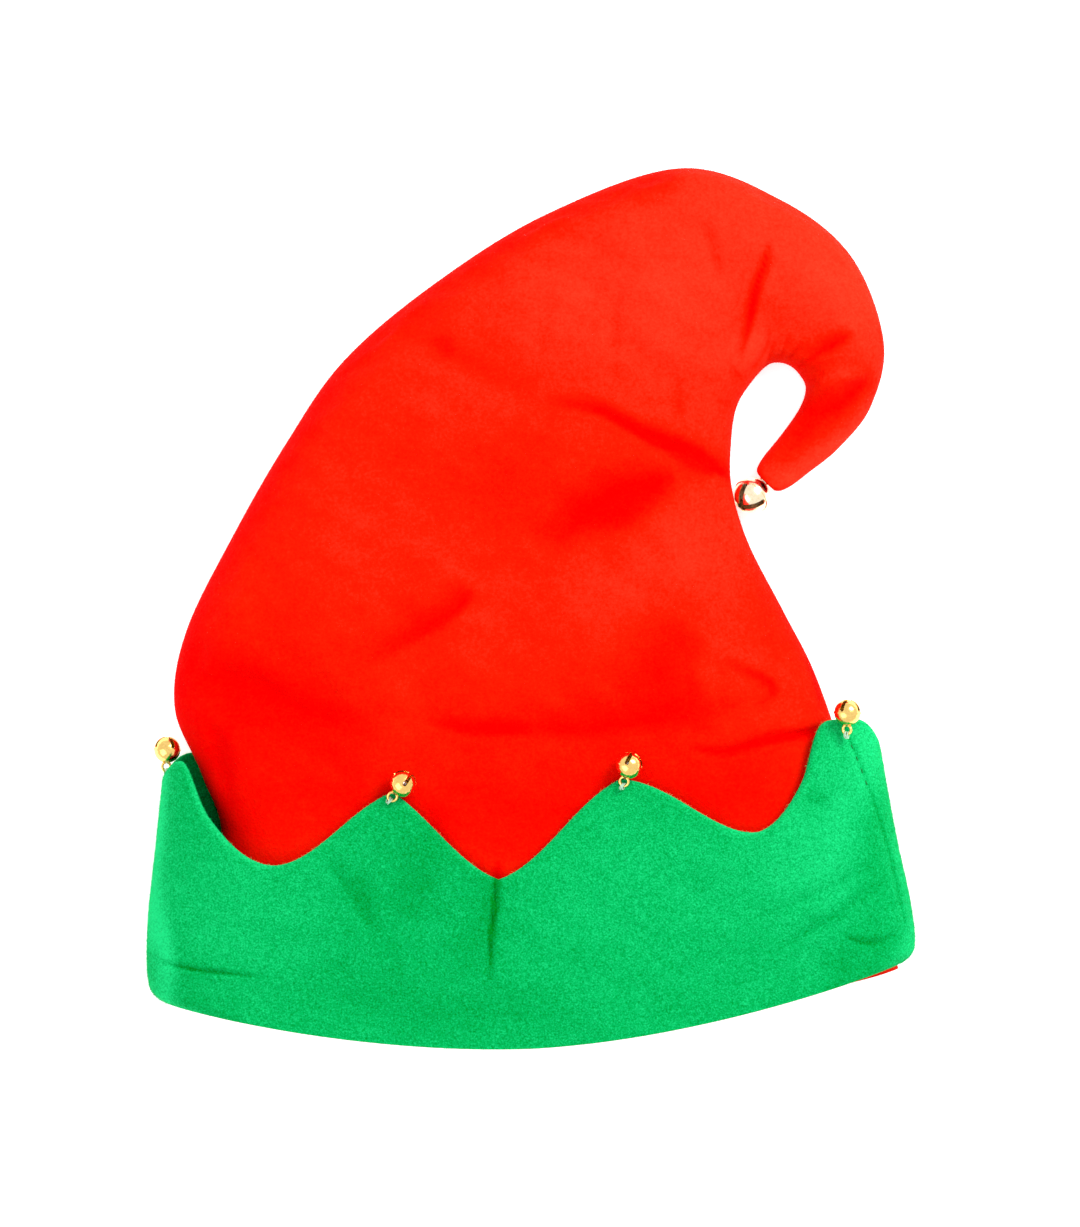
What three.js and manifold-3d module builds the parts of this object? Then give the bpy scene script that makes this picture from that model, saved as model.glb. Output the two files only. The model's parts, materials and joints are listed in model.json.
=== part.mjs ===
// An elf hat of red plush with a curled tip, a green zigzag cuff and brass jingle bells.
// It lies on its back. Millimetres, +X across the hat, +Y from the rim to the top of the crown, +Z up.
// The crown is a flat bag of two panels sewn along the outline, and the cuff is a band round the rim.
import * as THREE from "three";
import { mergeVertices } from "three/addons/utils/BufferGeometryUtils.js";
import Module from "manifold-3d";

const wasm = await Module();
wasm.setup();

// Driving dimensions
const plushWall = 1.5; // red cloth of the crown
const cuffWall = 2.5; // thicker green cloth of the cuff
const seamGap = 0.3; // between the two panels along the outline
const edgeRoll = 12; // width over which the lower panel rises to the seam
const seamShare = 0.35; // height of the seam as a share of the hat's thickness
const bowPower = 1.8; // how evenly a section's sag is spread across it, 2 for a parabola
const smallBell = 10; // diameter of the bells on the points
const largeBell = 14; // diameter of the bell at the tip

const red = { color: 0xe8160c, roughness: 0.85, metalness: 0 };
const green = { color: 0x0cb45a, roughness: 0.9, metalness: 0 };
const brass = { color: 0xe2b04a, roughness: 0.22, metalness: 1 };
const steel = { color: 0xb8bcc0, roughness: 0.3, metalness: 1 };

// Sections of the crown from the rim to the tip, each from the outer (left) edge to the inner (right) edge.
// bow is how far the section sags towards the rim, thick its thickness, lift its height above the floor,
// full how square its sides are.
const crownSections = [
  { leftX: -137.6, leftY: -143.4, rightX: 136.8, rightY: -136.4, bow: 20.8, thick: 25.5, lift: 2.95, full: 7 },
  { leftX: -136, leftY: -118, rightX: 137, rightY: -108.5, bow: 22.5, thick: 26, lift: 2.95, full: 7 },
  { leftX: -117.5, leftY: -88.5, rightX: 127, rightY: -82, bow: 20, thick: 26, lift: 2.95, full: 6 },
  { leftX: -124.5, leftY: -63, rightX: 119.5, rightY: -58, bow: 16, thick: 26, lift: 2.95, full: 6 },
  { leftX: -134.8, leftY: -37.5, rightX: 107.5, rightY: -24, bow: 10, thick: 28.5, lift: 2.95, full: 5 },
  { leftX: -130.6, leftY: -8.7, rightX: 96, rightY: -1.2, bow: 4, thick: 34, lift: 0, full: 4.5 },
  { leftX: -113, leftY: 27.3, rightX: 82.5, rightY: 25, bow: 0, thick: 35, lift: 0, full: 4 },
  { leftX: -93, leftY: 62.2, rightX: 76.2, rightY: 46.3, bow: 0, thick: 34, lift: 0, full: 4 },
  { leftX: -70.5, leftY: 94.4, rightX: 76, rightY: 63, bow: 0, thick: 33, lift: 0, full: 3.6 },
  { leftX: -35.5, leftY: 124, rightX: 78, rightY: 76.2, bow: 0, thick: 31, lift: 0, full: 3.4 },
  { leftX: 6.6, leftY: 150, rightX: 83.2, rightY: 85.3, bow: 0, thick: 29, lift: 0, full: 3.2 },
  { leftX: 56.7, leftY: 167.2, rightX: 90, rightY: 92.5, bow: 0, thick: 27, lift: 0, full: 3 },
  { leftX: 94.6, leftY: 155.4, rightX: 96, rightY: 93.2, bow: 0, thick: 25, lift: 0, full: 2.8 },
  { leftX: 121.4, leftY: 134.2, rightX: 101, rightY: 90.2, bow: 0, thick: 23, lift: 0, full: 2.6 },
  { leftX: 134, leftY: 102, rightX: 104.4, rightY: 84.1, bow: 0, thick: 21, lift: 0, full: 2.4 },
  { leftX: 129.4, leftY: 77.3, rightX: 102.1, rightY: 76.2, bow: 0, thick: 18, lift: 0, full: 2.2 },
  { leftX: 117.3, leftY: 61.4, rightX: 95.3, rightY: 66.3, bow: 0, thick: 15, lift: 0, full: 2.2 },
  { leftX: 105.2, leftY: 51.5, rightX: 88.6, rightY: 58, bow: 0, thick: 11, lift: 1.5, full: 2.2 },
  { leftX: 99, leftY: 46.8, rightX: 86, rightY: 53.5, bow: 0, thick: 8, lift: 5, full: 2.1 },
  { leftX: 94.8, leftY: 44.8, rightX: 86.2, rightY: 51.2, bow: 0, thick: 6, lift: 7.4, full: 2 },
  { leftX: 92.4, leftY: 45, rightX: 88.2, rightY: 48.8, bow: 0, thick: 5.2, lift: 8.2, full: 2 },
];

// Sections of the cuff's outside from the rim to the line of its points.
const cuffSections = [
  { leftX: -138, leftY: -149.3, rightX: 141.4, rightY: -133.6, bow: 23.8, thick: 32.8, lift: 0, full: 7 },
  { leftX: -144.6, leftY: -142.5, rightX: 145.6, rightY: -127.6, bow: 23.8, thick: 32.8, lift: 0, full: 7 },
  { leftX: -145.2, leftY: -119.8, rightX: 143.9, rightY: -110.3, bow: 23.6, thick: 32.9, lift: 0, full: 7 },
  { leftX: -142.3, leftY: -91.3, rightX: 138.2, rightY: -83.8, bow: 22, thick: 33, lift: 0, full: 6.5 },
  { leftX: -138, leftY: -49.6, rightX: 130.2, rightY: -39, bow: 18.5, thick: 33, lift: 0, full: 6 },
];

// The cuff's top edge, round the hat from the left fold over the front and back over the rear.
// across is -1 at the left fold and 1 at the right one, reach the share of the cuff's full height
// and round how blunt the turn is there.
const zigzag = [
  { side: "front", across: -1, reach: 0.906, round: 1 },
  { side: "front", across: -0.958, reach: 0.945, round: 0.8 },
  { side: "front", across: -0.871, reach: 0.846, round: 0 },
  { side: "front", across: -0.702, reach: 0.777, round: 1 },
  { side: "front", across: -0.365, reach: 0.946, round: 0.15 },
  { side: "front", across: -0.074, reach: 0.795, round: 0.5 },
  { side: "front", across: 0.279, reach: 0.965, round: 0.4 },
  { side: "front", across: 0.64, reach: 0.823, round: 0.9 },
  { side: "front", across: 0.779, reach: 0.89, round: 0 },
  { side: "front", across: 0.876, reach: 1.024, round: 1 },
  { side: "front", across: 0.922, reach: 1.003, round: 1 },
  { side: "front", across: 1, reach: 0.926, round: 0.7 },
  { side: "rear", across: 0.7, reach: 0.8, round: 0.8 },
  { side: "rear", across: 0.39, reach: 0.968, round: 0.35 },
  { side: "rear", across: 0.05, reach: 0.8, round: 0.4 },
  { side: "rear", across: -0.29, reach: 0.952, round: 0.35 },
  { side: "rear", across: -0.64, reach: 0.79, round: 0.8 },
  { side: "rear", across: -0.93, reach: 0.97, round: 0.8 },
];

// Folds of the upper panel: each is a valley along a line, with a low ridge on both sides.
const crownFolds = [
  { fromX: 4.4, fromY: 76.9, toX: 70.7, toY: 51.9, wide: 6, deep: 3 }, // pulled to the tack at the tip bell
  { fromX: 53.2, fromY: 47.5, toX: 0, toY: 20, wide: 10, deep: 3.6 },
  { fromX: -20.3, fromY: 5.7, toX: -71.4, toY: -25, wide: 9, deep: 2 },
  { fromX: -35, fromY: -44, toX: 87, toY: -38.3, wide: 10, deep: 2.2 }, // above the cuff
  { fromX: -128, fromY: -22, toX: -49, toY: -42, wide: 13, deep: 2.2 },
  { fromX: 61.2, fromY: -53.4, toX: 100, toY: -48.5, wide: 5, deep: 1.6 },
  { fromX: 89.6, fromY: 133.8, toX: 79, toY: 95.9, wide: 5, deep: 2.4 }, // down into the curl
  { fromX: 120.7, fromY: 100.4, toX: 106.3, toY: 89.8, wide: 5, deep: 2.4 },
  { fromX: 129, fromY: 86, toX: 101, toY: 68, wide: 6, deep: 2.8 },
];
const cuffFolds = [
  { fromX: -12.7, fromY: -103, toX: -15.5, toY: -140, wide: 6, deep: 1.6 }, // middle seam
  { fromX: -141, fromY: -130, toX: -104, toY: -138, wide: 5, deep: 1.4 },
  { fromX: 138, fromY: -99, toX: 100, toY: -124, wide: 7, deep: 1.6 },
  { fromX: -74, fromY: -95, toX: -56, toY: -126, wide: 9, deep: 1.4 },
];
const ridgeShare = 0.35; // height of a fold's side ridges as a share of its depth

// Gathers where the curl's inner edge was eased in.
const gathers = { first: 10.6, last: 14.6, count: 6, deep: 0.9, spread: 0.22 };

// Bells on the points. x, y is the middle of the bell, aim the direction of its loop in the plan,
// dip how far the loop points down, turn how far the loop is turned out of lying flat, all in degrees.
const pointBells = [
  { x: -137.7, y: -53.3, z: 12.4, aim: -93, dip: 0, turn: 30 },
  { x: -47.9, y: -65.6, z: 35.8, aim: -129, dip: 12, turn: 8 },
  { x: 37, y: -58.7, z: 35.7, aim: -107, dip: 9, turn: -15 },
  { x: 119.2, y: -39, z: 30.7, aim: -92, dip: 4, turn: -30 },
  { x: 48.4, y: -52.6, z: 5.3, aim: -90, dip: 20, turn: 0 },
  { x: -42.4, y: -60.2, z: 5.3, aim: -90, dip: 20, turn: 0 },
];
const tipBell = { x: 84, y: 43.1, z: 7.2, aim: 47, dip: 33, turn: 45 };

// Bumps of the lower panel over the two bells under the hat.
const bellBump = { high: 11.1, wide: 15 };

// Value of every column of a table at a place between its rows, along a smooth curve.
function sectionAt(sections, place) {
  const last = sections.length - 1;
  const row = Math.min(Math.floor(place), last - 1);
  const share = place - row;
  const rows = [row - 1, row, row + 1, row + 2].map((i) => sections[THREE.MathUtils.clamp(i, 0, last)]);
  const mixed = {};
  for (const column of Object.keys(sections[0])) {
    const [a, b, c, d] = rows.map((section) => section[column]);
    mixed[column] =
      b + 0.5 * share * (c - a + share * (2 * a - 5 * b + 4 * c - d + share * (3 * (b - c) + d - a)));
  }
  return mixed;
}

// Height that the folds of a table add at a point of the plan.
function foldHeight(folds, x, y) {
  let height = 0;
  for (const { fromX, fromY, toX, toY, wide, deep } of folds) {
    const length = Math.hypot(toX - fromX, toY - fromY);
    const alongX = (toX - fromX) / length;
    const alongY = (toY - fromY) / length;
    const along = (x - fromX) * alongX + (y - fromY) * alongY;
    const aside = Math.abs((y - fromY) * alongX - (x - fromX) * alongY) / wide;
    const past = Math.max(-along, along - length, 0) / wide;
    const valley = Math.exp(-aside * aside);
    const ridge = ridgeShare * Math.exp(-((aside - 1.8) ** 2));
    height += deep * (ridge - valley) * Math.exp(-past * past);
  }
  return height;
}

// A point of a section: angle 0 is the left seam, 180 degrees the right one, below that the upper side
// and above it the lower side. inset moves the point into the cloth.
function sectionPoint(section, angle, inset) {
  const across = -Math.cos(angle);
  const chordX = section.rightX - section.leftX;
  const chordY = section.rightY - section.leftY;
  const chord = Math.hypot(chordX, chordY);
  const half = chord / 2 - inset;
  const bow = section.bow * (1 - Math.abs(across) ** bowPower);
  const x = (section.leftX + section.rightX) / 2 + (across * half * chordX + bow * chordY) / chord;
  const y = (section.leftY + section.rightY) / 2 + (across * half * chordY - bow * chordX) / chord;
  const seam = seamShare * section.thick;
  if (Math.sin(angle) >= -1e-9) {
    const dome = Math.sqrt(Math.max(0, 1 - Math.abs(across) ** section.full));
    return new THREE.Vector3(x, y, section.lift + seam + (section.thick - seam - inset) * dome);
  }
  const flat = Math.max(0.15, 1 - edgeRoll / half);
  const roll = Math.max(0, (Math.abs(across) - flat) / (1 - flat));
  const rise = 1 - Math.sqrt(1 - Math.min(1, roll * roll));
  return new THREE.Vector3(x, y, section.lift + inset + (seam - inset) * rise);
}

// How much of a fold is left near the seams, so that the outline keeps its place.
const awayFromSeam = (angle) => 1 - Math.abs(Math.cos(angle)) ** 16;

// A closed cloth from its outer and inner grids of points. Each grid is a list of rows,
// and a band's rows close on themselves.
function clothGeometry(outer, inner, closed) {
  const rows = outer.length;
  const columns = outer[0].length;
  const positions = [...outer.flat(), ...inner.flat()].flatMap((p) => [p.x, p.y, p.z]);
  const outside = (row, column) => row * columns + (column % columns);
  const inside = (row, column) => rows * columns + outside(row, column);
  const index = [];
  const quad = (a, b, c, d) => index.push(a, b, c, a, c, d);
  const spans = closed ? columns : columns - 1;
  for (let row = 0; row < rows - 1; row++) {
    for (let column = 0; column < spans; column++) {
      quad(outside(row, column), outside(row, column + 1), outside(row + 1, column + 1), outside(row + 1, column));
      quad(inside(row, column), inside(row + 1, column), inside(row + 1, column + 1), inside(row, column + 1));
    }
    if (!closed) {
      quad(outside(row, 0), outside(row + 1, 0), inside(row + 1, 0), inside(row, 0));
      quad(outside(row, spans), inside(row, spans), inside(row + 1, spans), outside(row + 1, spans));
    }
  }
  for (let column = 0; column < spans; column++) {
    quad(outside(0, column), inside(0, column), inside(0, column + 1), outside(0, column + 1));
    const end = rows - 1;
    quad(outside(end, column), outside(end, column + 1), inside(end, column + 1), inside(end, column));
  }
  const geometry = new THREE.BufferGeometry();
  geometry.setAttribute("position", new THREE.Float32BufferAttribute(positions, 3));
  geometry.setIndex(index);
  return geometry;
}

// Ripple of the gathers at a place of the upper panel.
function gatherHeight(place, across) {
  const { first, last, count, deep, spread } = gathers;
  const share = (place - first) / (last - first);
  if (share <= 0 || share >= 1) return 0;
  const fade = Math.sin(Math.PI * share) * Math.exp(-(1 - across) / spread);
  return -deep * fade * (1 + Math.cos(2 * Math.PI * count * share));
}

function crownFrontPoint(place, angle, layer) {
  const section = sectionAt(crownSections, place);
  const point = sectionPoint(section, angle, layer * plushWall);
  const folds = foldHeight([...crownFolds, ...cuffFolds], point.x, point.y) + gatherHeight(place, -Math.cos(angle));
  const size = section.thick / crownSections[0].thick;
  point.z += folds * awayFromSeam(angle) * Math.min(1, size) + seamGap / 2;
  return point;
}

function crownBackPoint(place, angle, layer) {
  const section = sectionAt(crownSections, place);
  const point = sectionPoint(section, angle, layer * plushWall);
  const atSeam = Math.abs(Math.cos(angle)) ** 16;
  for (const bell of pointBells.filter(({ z }) => z < smallBell)) {
    const away = Math.hypot(point.x - bell.x, point.y - bell.y) / bellBump.wide;
    point.z += bellBump.high * Math.exp(-away * away) * (1 - atSeam);
  }
  point.z = Math.max(layer * plushWall, point.z - (seamGap / 2) * atSeam);
  return point;
}

// One panel of the crown, between two angles of the sections.
function crownPanel(pointAt, fromAngle, toAngle, columns, rowsPerSection) {
  const rows = (crownSections.length - 1) * rowsPerSection;
  const grid = (layer) =>
    Array.from({ length: rows + 1 }, (_, row) =>
      Array.from({ length: columns + 1 }, (_, column) =>
        pointAt(row / rowsPerSection, fromAngle + ((toAngle - fromAngle) * column) / columns, layer),
      ),
    );
  return clothGeometry(grid(0), grid(1), false);
}

// Angle of a row of the zigzag round the hat.
function zigzagAngle({ side, across }) {
  const angle = Math.acos(-across);
  return side === "front" ? angle : 2 * Math.PI - angle;
}

// Columns of the cuff, each with its angle and how far up it reaches.
function cuffColumns(columnsPerSlope) {
  const columns = [];
  zigzag.forEach((from, i) => {
    const to = zigzag[(i + 1) % zigzag.length];
    const start = zigzagAngle(from);
    const end = i === zigzag.length - 1 ? 2 * Math.PI : zigzagAngle(to);
    for (let step = 0; step < columnsPerSlope; step++) {
      const s = step / columnsPerSlope;
      const straight = s * (1 - s) * ((1 - from.round) * (1 - s) - (1 - to.round) * s);
      const share = s * s * (3 - 2 * s) + straight;
      columns.push({ angle: start + (end - start) * s, reach: from.reach + (to.reach - from.reach) * share });
    }
  });
  return columns;
}

function cuffPoint(place, angle, layer) {
  const section = sectionAt(cuffSections, place);
  const point = sectionPoint(section, angle, layer * cuffWall);
  if (Math.sin(angle) > 0) point.z += foldHeight(cuffFolds, point.x, point.y) * awayFromSeam(angle);
  return point;
}

function cuffGeometry(columnsPerSlope, rows) {
  const columns = cuffColumns(columnsPerSlope);
  const top = cuffSections.length - 1;
  const grid = (layer) =>
    Array.from({ length: rows + 1 }, (_, row) =>
      columns.map(({ angle, reach }) => cuffPoint((top * reach * row) / rows, angle, layer)),
    );
  return clothGeometry(grid(0), grid(1), true);
}

// A closed geometry as a manifold-3d solid, and back.
function solidOf(geometry) {
  const bare = geometry.clone();
  bare.deleteAttribute("normal");
  bare.deleteAttribute("uv");
  const merged = mergeVertices(bare, 1e-4);
  const vertProperties = merged.attributes.position.array;
  return new wasm.Manifold(new wasm.Mesh({ numProp: 3, vertProperties, triVerts: new Uint32Array(merged.index.array) }));
}

function geometryOf(solid) {
  const { vertProperties, triVerts } = solid.getMesh();
  const geometry = new THREE.BufferGeometry();
  geometry.setAttribute("position", new THREE.BufferAttribute(vertProperties, 3));
  geometry.setIndex(new THREE.BufferAttribute(triVerts, 1));
  return geometry;
}

// Proportions of a jingle bell as shares of its radius.
const bellForm = {
  shell: 0.1,
  ridgeOut: 0.05,
  ridgeHalf: 0.07,
  slit: 0.22,
  slitEnd: 0.3,
  slitHole: 0.17,
  loopRadius: 0.34,
  loopWire: 0.11,
  ball: 0.3,
};

// A jingle bell with its middle at the origin: a cross of slits at the top and a sewing loop below.
function bellGeometry(diameter) {
  const radius = diameter / 2;
  const at = (degrees) => {
    const angle = THREE.MathUtils.degToRad(degrees);
    return new THREE.Vector2(Math.max(0, radius * Math.cos(angle)), radius * Math.sin(angle));
  };
  const ridge = radius * (1 + bellForm.ridgeOut);
  const half = radius * bellForm.ridgeHalf;
  const profile = [
    ...[-90, -60, -30].map(at),
    new THREE.Vector2(radius, -half),
    new THREE.Vector2(ridge, 0),
    new THREE.Vector2(radius, half),
    ...[30, 60, 90].map(at),
  ];
  const body = new THREE.LatheGeometry(profile, 12).rotateX(Math.PI / 2);
  const hollow = new THREE.SphereGeometry(radius * (1 - bellForm.shell), 12, 6).rotateX(Math.PI / 2);
  const loop = new THREE.TorusGeometry(radius * bellForm.loopRadius, radius * bellForm.loopWire, 5, 9)
    .rotateX(Math.PI / 2)
    .translate(0, 0, -radius * (1 + bellForm.loopRadius - bellForm.loopWire / 2));
  let solid = solidOf(body).add(solidOf(loop)).subtract(solidOf(hollow));
  const reach = 2 * ridge + 1;
  const slitBottom = radius * bellForm.slitEnd;
  for (const turn of [0, Math.PI / 2]) {
    const slot = new THREE.BoxGeometry(radius * bellForm.slit, reach, radius).translate(0, 0, slitBottom + radius / 2);
    const hole = new THREE.CylinderGeometry(radius * bellForm.slitHole, radius * bellForm.slitHole, reach, 6);
    hole.rotateY(Math.PI / 6).translate(0, 0, slitBottom);
    solid = solid.subtract(solidOf(slot.rotateZ(turn))).subtract(solidOf(hole.rotateZ(turn)));
  }
  return geometryOf(solid);
}

// A bell and the ball in it, set where the table says.
function addBell(parts, name, ballName, geometry, diameter, { x, y, z, aim, dip, turn }) {
  const radius = diameter / 2;
  const bell = new THREE.Mesh(geometry, new THREE.MeshStandardMaterial(brass));
  const aimAngle = THREE.MathUtils.degToRad(aim);
  const dipAngle = THREE.MathUtils.degToRad(dip);
  const toLoop = new THREE.Vector3(
    Math.cos(aimAngle) * Math.cos(dipAngle),
    Math.sin(aimAngle) * Math.cos(dipAngle),
    -Math.sin(dipAngle),
  );
  bell.name = name;
  bell.position.set(x, y, z);
  const away = toLoop.negate();
  const side = new THREE.Vector3(0, 0, 1).cross(away).normalize();
  bell.quaternion.setFromRotationMatrix(new THREE.Matrix4().makeBasis(side, away.clone().cross(side), away));
  bell.rotateZ(THREE.MathUtils.degToRad(turn));
  const ballRadius = radius * bellForm.ball;
  const ball = new THREE.Mesh(new THREE.IcosahedronGeometry(ballRadius, 1), new THREE.MeshStandardMaterial(steel));
  ball.name = ballName;
  ball.position.set(x, y, z - radius * (1 - bellForm.shell) + ballRadius + 0.5);
  parts.add(bell, ball);
}

function addCloth(parts, name, geometry, finish) {
  const mesh = new THREE.Mesh(geometry, new THREE.MeshStandardMaterial(finish));
  mesh.name = name;
  parts.add(mesh);
}

const parts = new THREE.Group();
addCloth(parts, "crown_front", crownPanel(crownFrontPoint, 0, Math.PI, 20, 2), red);
addCloth(parts, "crown_back", crownPanel(crownBackPoint, Math.PI, 2 * Math.PI, 12, 2), red);
addCloth(parts, "cuff", cuffGeometry(5, 5), green);
const smallBellGeometry = bellGeometry(smallBell);
pointBells.forEach((bell, i) => {
  addBell(parts, `point_bell_${i + 1}`, `bell_ball_${i + 1}`, smallBellGeometry, smallBell, bell);
});
addBell(parts, "tip_bell", "tip_bell_ball", bellGeometry(largeBell), largeBell, tipBell);

// The origin is under the middle of the hat.
const box = new THREE.Box3().setFromObject(parts, true);
const middle = box.getCenter(new THREE.Vector3());
parts.position.set(-middle.x, -middle.y, -box.min.z);

const hat = new THREE.Group();
hat.add(parts);
export default hat;
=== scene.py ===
"""An elf hat of red plush that lies on its back: curled tip, green zigzag cuff and brass jingle bells."""

import json
import logging
import math
from dataclasses import dataclass, field
from enum import Enum
from typing import Any, Sequence

import bmesh
import bpy
import numpy as np
from mathutils import Matrix, Vector

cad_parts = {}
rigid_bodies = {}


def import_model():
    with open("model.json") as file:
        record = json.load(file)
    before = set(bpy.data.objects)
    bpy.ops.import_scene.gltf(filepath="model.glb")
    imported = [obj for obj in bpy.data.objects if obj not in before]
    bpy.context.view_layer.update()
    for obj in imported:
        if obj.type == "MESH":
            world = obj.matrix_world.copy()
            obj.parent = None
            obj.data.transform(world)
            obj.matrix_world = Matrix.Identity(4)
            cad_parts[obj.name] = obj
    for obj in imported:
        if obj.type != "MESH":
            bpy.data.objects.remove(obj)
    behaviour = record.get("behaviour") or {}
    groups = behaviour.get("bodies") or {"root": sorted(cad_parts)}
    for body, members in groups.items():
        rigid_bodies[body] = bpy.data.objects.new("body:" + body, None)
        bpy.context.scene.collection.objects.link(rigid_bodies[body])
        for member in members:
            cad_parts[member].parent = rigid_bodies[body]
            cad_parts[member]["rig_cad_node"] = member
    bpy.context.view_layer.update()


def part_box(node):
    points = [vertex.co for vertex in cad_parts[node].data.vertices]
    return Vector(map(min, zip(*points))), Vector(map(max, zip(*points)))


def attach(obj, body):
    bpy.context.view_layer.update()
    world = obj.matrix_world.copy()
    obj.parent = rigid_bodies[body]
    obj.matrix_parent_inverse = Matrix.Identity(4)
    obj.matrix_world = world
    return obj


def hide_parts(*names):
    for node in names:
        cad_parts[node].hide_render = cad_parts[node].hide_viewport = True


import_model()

log = logging.getLogger("elf_hat")

MM = 0.001
FULL_TURN = 2 * math.pi
Grid = np.ndarray
Colour = tuple[float, float, float]


class Layer(Enum):
    """The two panels of the crown, and the two halves of the cuff."""

    FRONT = "front"
    REAR = "rear"


# shared sizes


@dataclass(frozen=True)
class Section:
    """One cross-section of the hat, from its left edge to its right one, in millimetres.

    bow is how far the middle sags towards the rim, thick its height and lift how far it stands off the floor.
    full says how square its dome is, 2 for an ellipse.
    """

    left: tuple[float, float]
    right: tuple[float, float]
    bow: float
    thick: float
    lift: float
    full: float


@dataclass(frozen=True)
class Fold:
    """A fold along a path of the plan.

    deep is a valley's depth, or a ridge's height if it is negative. lean says how much steeper the right
    side is than the left one, seen along the path. peak is where along it the fold is deepest, from 0 to 1.
    The last field says how much painted shade darkens the fold there.
    """

    path: tuple[tuple[float, float], ...]
    wide: float
    deep: float
    lean: float = 0.0
    peak: float = 0.5
    painted_fold_shade: float = 0.0


@dataclass(frozen=True)
class PaintedLightPatch:
    """A patch of painted light and shade.

    It has a middle, a reach, a turn in degrees and a tone, which says how much paler it is painted, and darker
    where it is less than 0.
    """

    middle: tuple[float, float]
    reach: tuple[float, float]
    turn: float
    tone: float


@dataclass(frozen=True)
class Turn:
    """A point or a trough of the cuff's zigzag.

    across runs from -1 at the left edge to 1 at the right one, reach is a share of the cuff's height, and
    blunt says how round the turn is. The edge runs on smoothly through a turn whose blunt is 0.
    """

    layer: Layer
    across: float
    reach: float
    blunt: float


# left edge, right edge, bow, thick, lift, full
CROWN_SECTIONS = (
    Section((-137.6, -143.4), (136.8, -136.4), 20.8, 25.5, 2.95, 7),
    Section((-136, -118), (137, -108.5), 22.5, 26, 2.95, 7),
    Section((-117.5, -88.5), (127, -82), 20, 26, 2.95, 6),
    Section((-124.5, -63), (119.5, -58), 16, 26, 2.95, 6),
    Section((-134.8, -37.5), (107.5, -24), 10, 28.5, 2.95, 5),
    Section((-130.6, -8.7), (96, -1.2), 4, 34, 0, 4.5),
    Section((-113, 27.3), (82.5, 25), 0, 35, 0, 4),
    Section((-93, 62.2), (76.2, 46.3), 0, 34, 0, 4),
    Section((-70.5, 94.4), (76, 63), 0, 33, 0, 3.6),
    Section((-35.5, 124), (78, 76.2), 0, 31, 0, 3.4),
    Section((6.6, 150), (83.2, 85.3), 0, 29, 0, 3.2),
    Section((56.7, 167.2), (90, 92.5), 0, 27, 0, 3),
    Section((94.6, 155.4), (96, 93.2), 0, 25, 0, 2.8),
    Section((121.4, 134.2), (101, 90.2), 0, 23, 0, 2.6),
    Section((134, 102), (104.4, 84.1), 0, 21, 0, 2.4),
    Section((129.4, 77.3), (102.1, 76.2), 0, 18, 0, 2.2),
    Section((117.3, 61.4), (95.3, 66.3), 0, 15, 0, 2.2),
    Section((105.2, 51.5), (88.6, 58), 0, 11, 1.5, 2.2),
    Section((99, 46.8), (86, 53.5), 0, 8, 5, 2.1),
    Section((94.8, 44.8), (86.2, 51.2), 0, 6, 7.4, 2),
    Section((92.4, 45), (88.2, 48.8), 0, 5.2, 8.2, 2),
)

# left edge, right edge, bow, thick, lift, full
CUFF_SECTIONS = (
    Section((-138, -149.3), (141.4, -133.6), 23.8, 32.8, 0, 7),
    Section((-144.6, -142.5), (145.6, -127.6), 23.8, 32.8, 0, 7),
    Section((-145.2, -119.8), (143.9, -110.3), 23.6, 32.9, 0, 7),
    Section((-142.3, -91.3), (138.2, -83.8), 22, 33, 0, 6.5),
    Section((-138, -49.6), (130.2, -39), 18.5, 33, 0, 6),
)

# layer, across, reach, blunt
ZIGZAG = (
    Turn(Layer.FRONT, -1, 0.906, 1),
    Turn(Layer.FRONT, -0.958, 0.945, 0.8),
    Turn(Layer.FRONT, -0.871, 0.846, 0),
    Turn(Layer.FRONT, -0.702, 0.777, 1),
    Turn(Layer.FRONT, -0.365, 0.946, 0.15),
    Turn(Layer.FRONT, -0.074, 0.795, 0.5),
    Turn(Layer.FRONT, 0.279, 0.965, 0.4),
    Turn(Layer.FRONT, 0.64, 0.823, 0.9),
    Turn(Layer.FRONT, 0.779, 0.89, 0),
    Turn(Layer.FRONT, 0.876, 1.024, 1),
    Turn(Layer.FRONT, 0.922, 1.003, 1),
    Turn(Layer.FRONT, 1, 0.926, 0.7),
    Turn(Layer.REAR, 0.7, 0.8, 0.8),
    Turn(Layer.REAR, 0.39, 0.968, 0.35),
    Turn(Layer.REAR, 0.05, 0.8, 0.4),
    Turn(Layer.REAR, -0.29, 0.952, 0.35),
    Turn(Layer.REAR, -0.64, 0.79, 0.8),
    Turn(Layer.REAR, -0.93, 0.97, 0.8),
)
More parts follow.
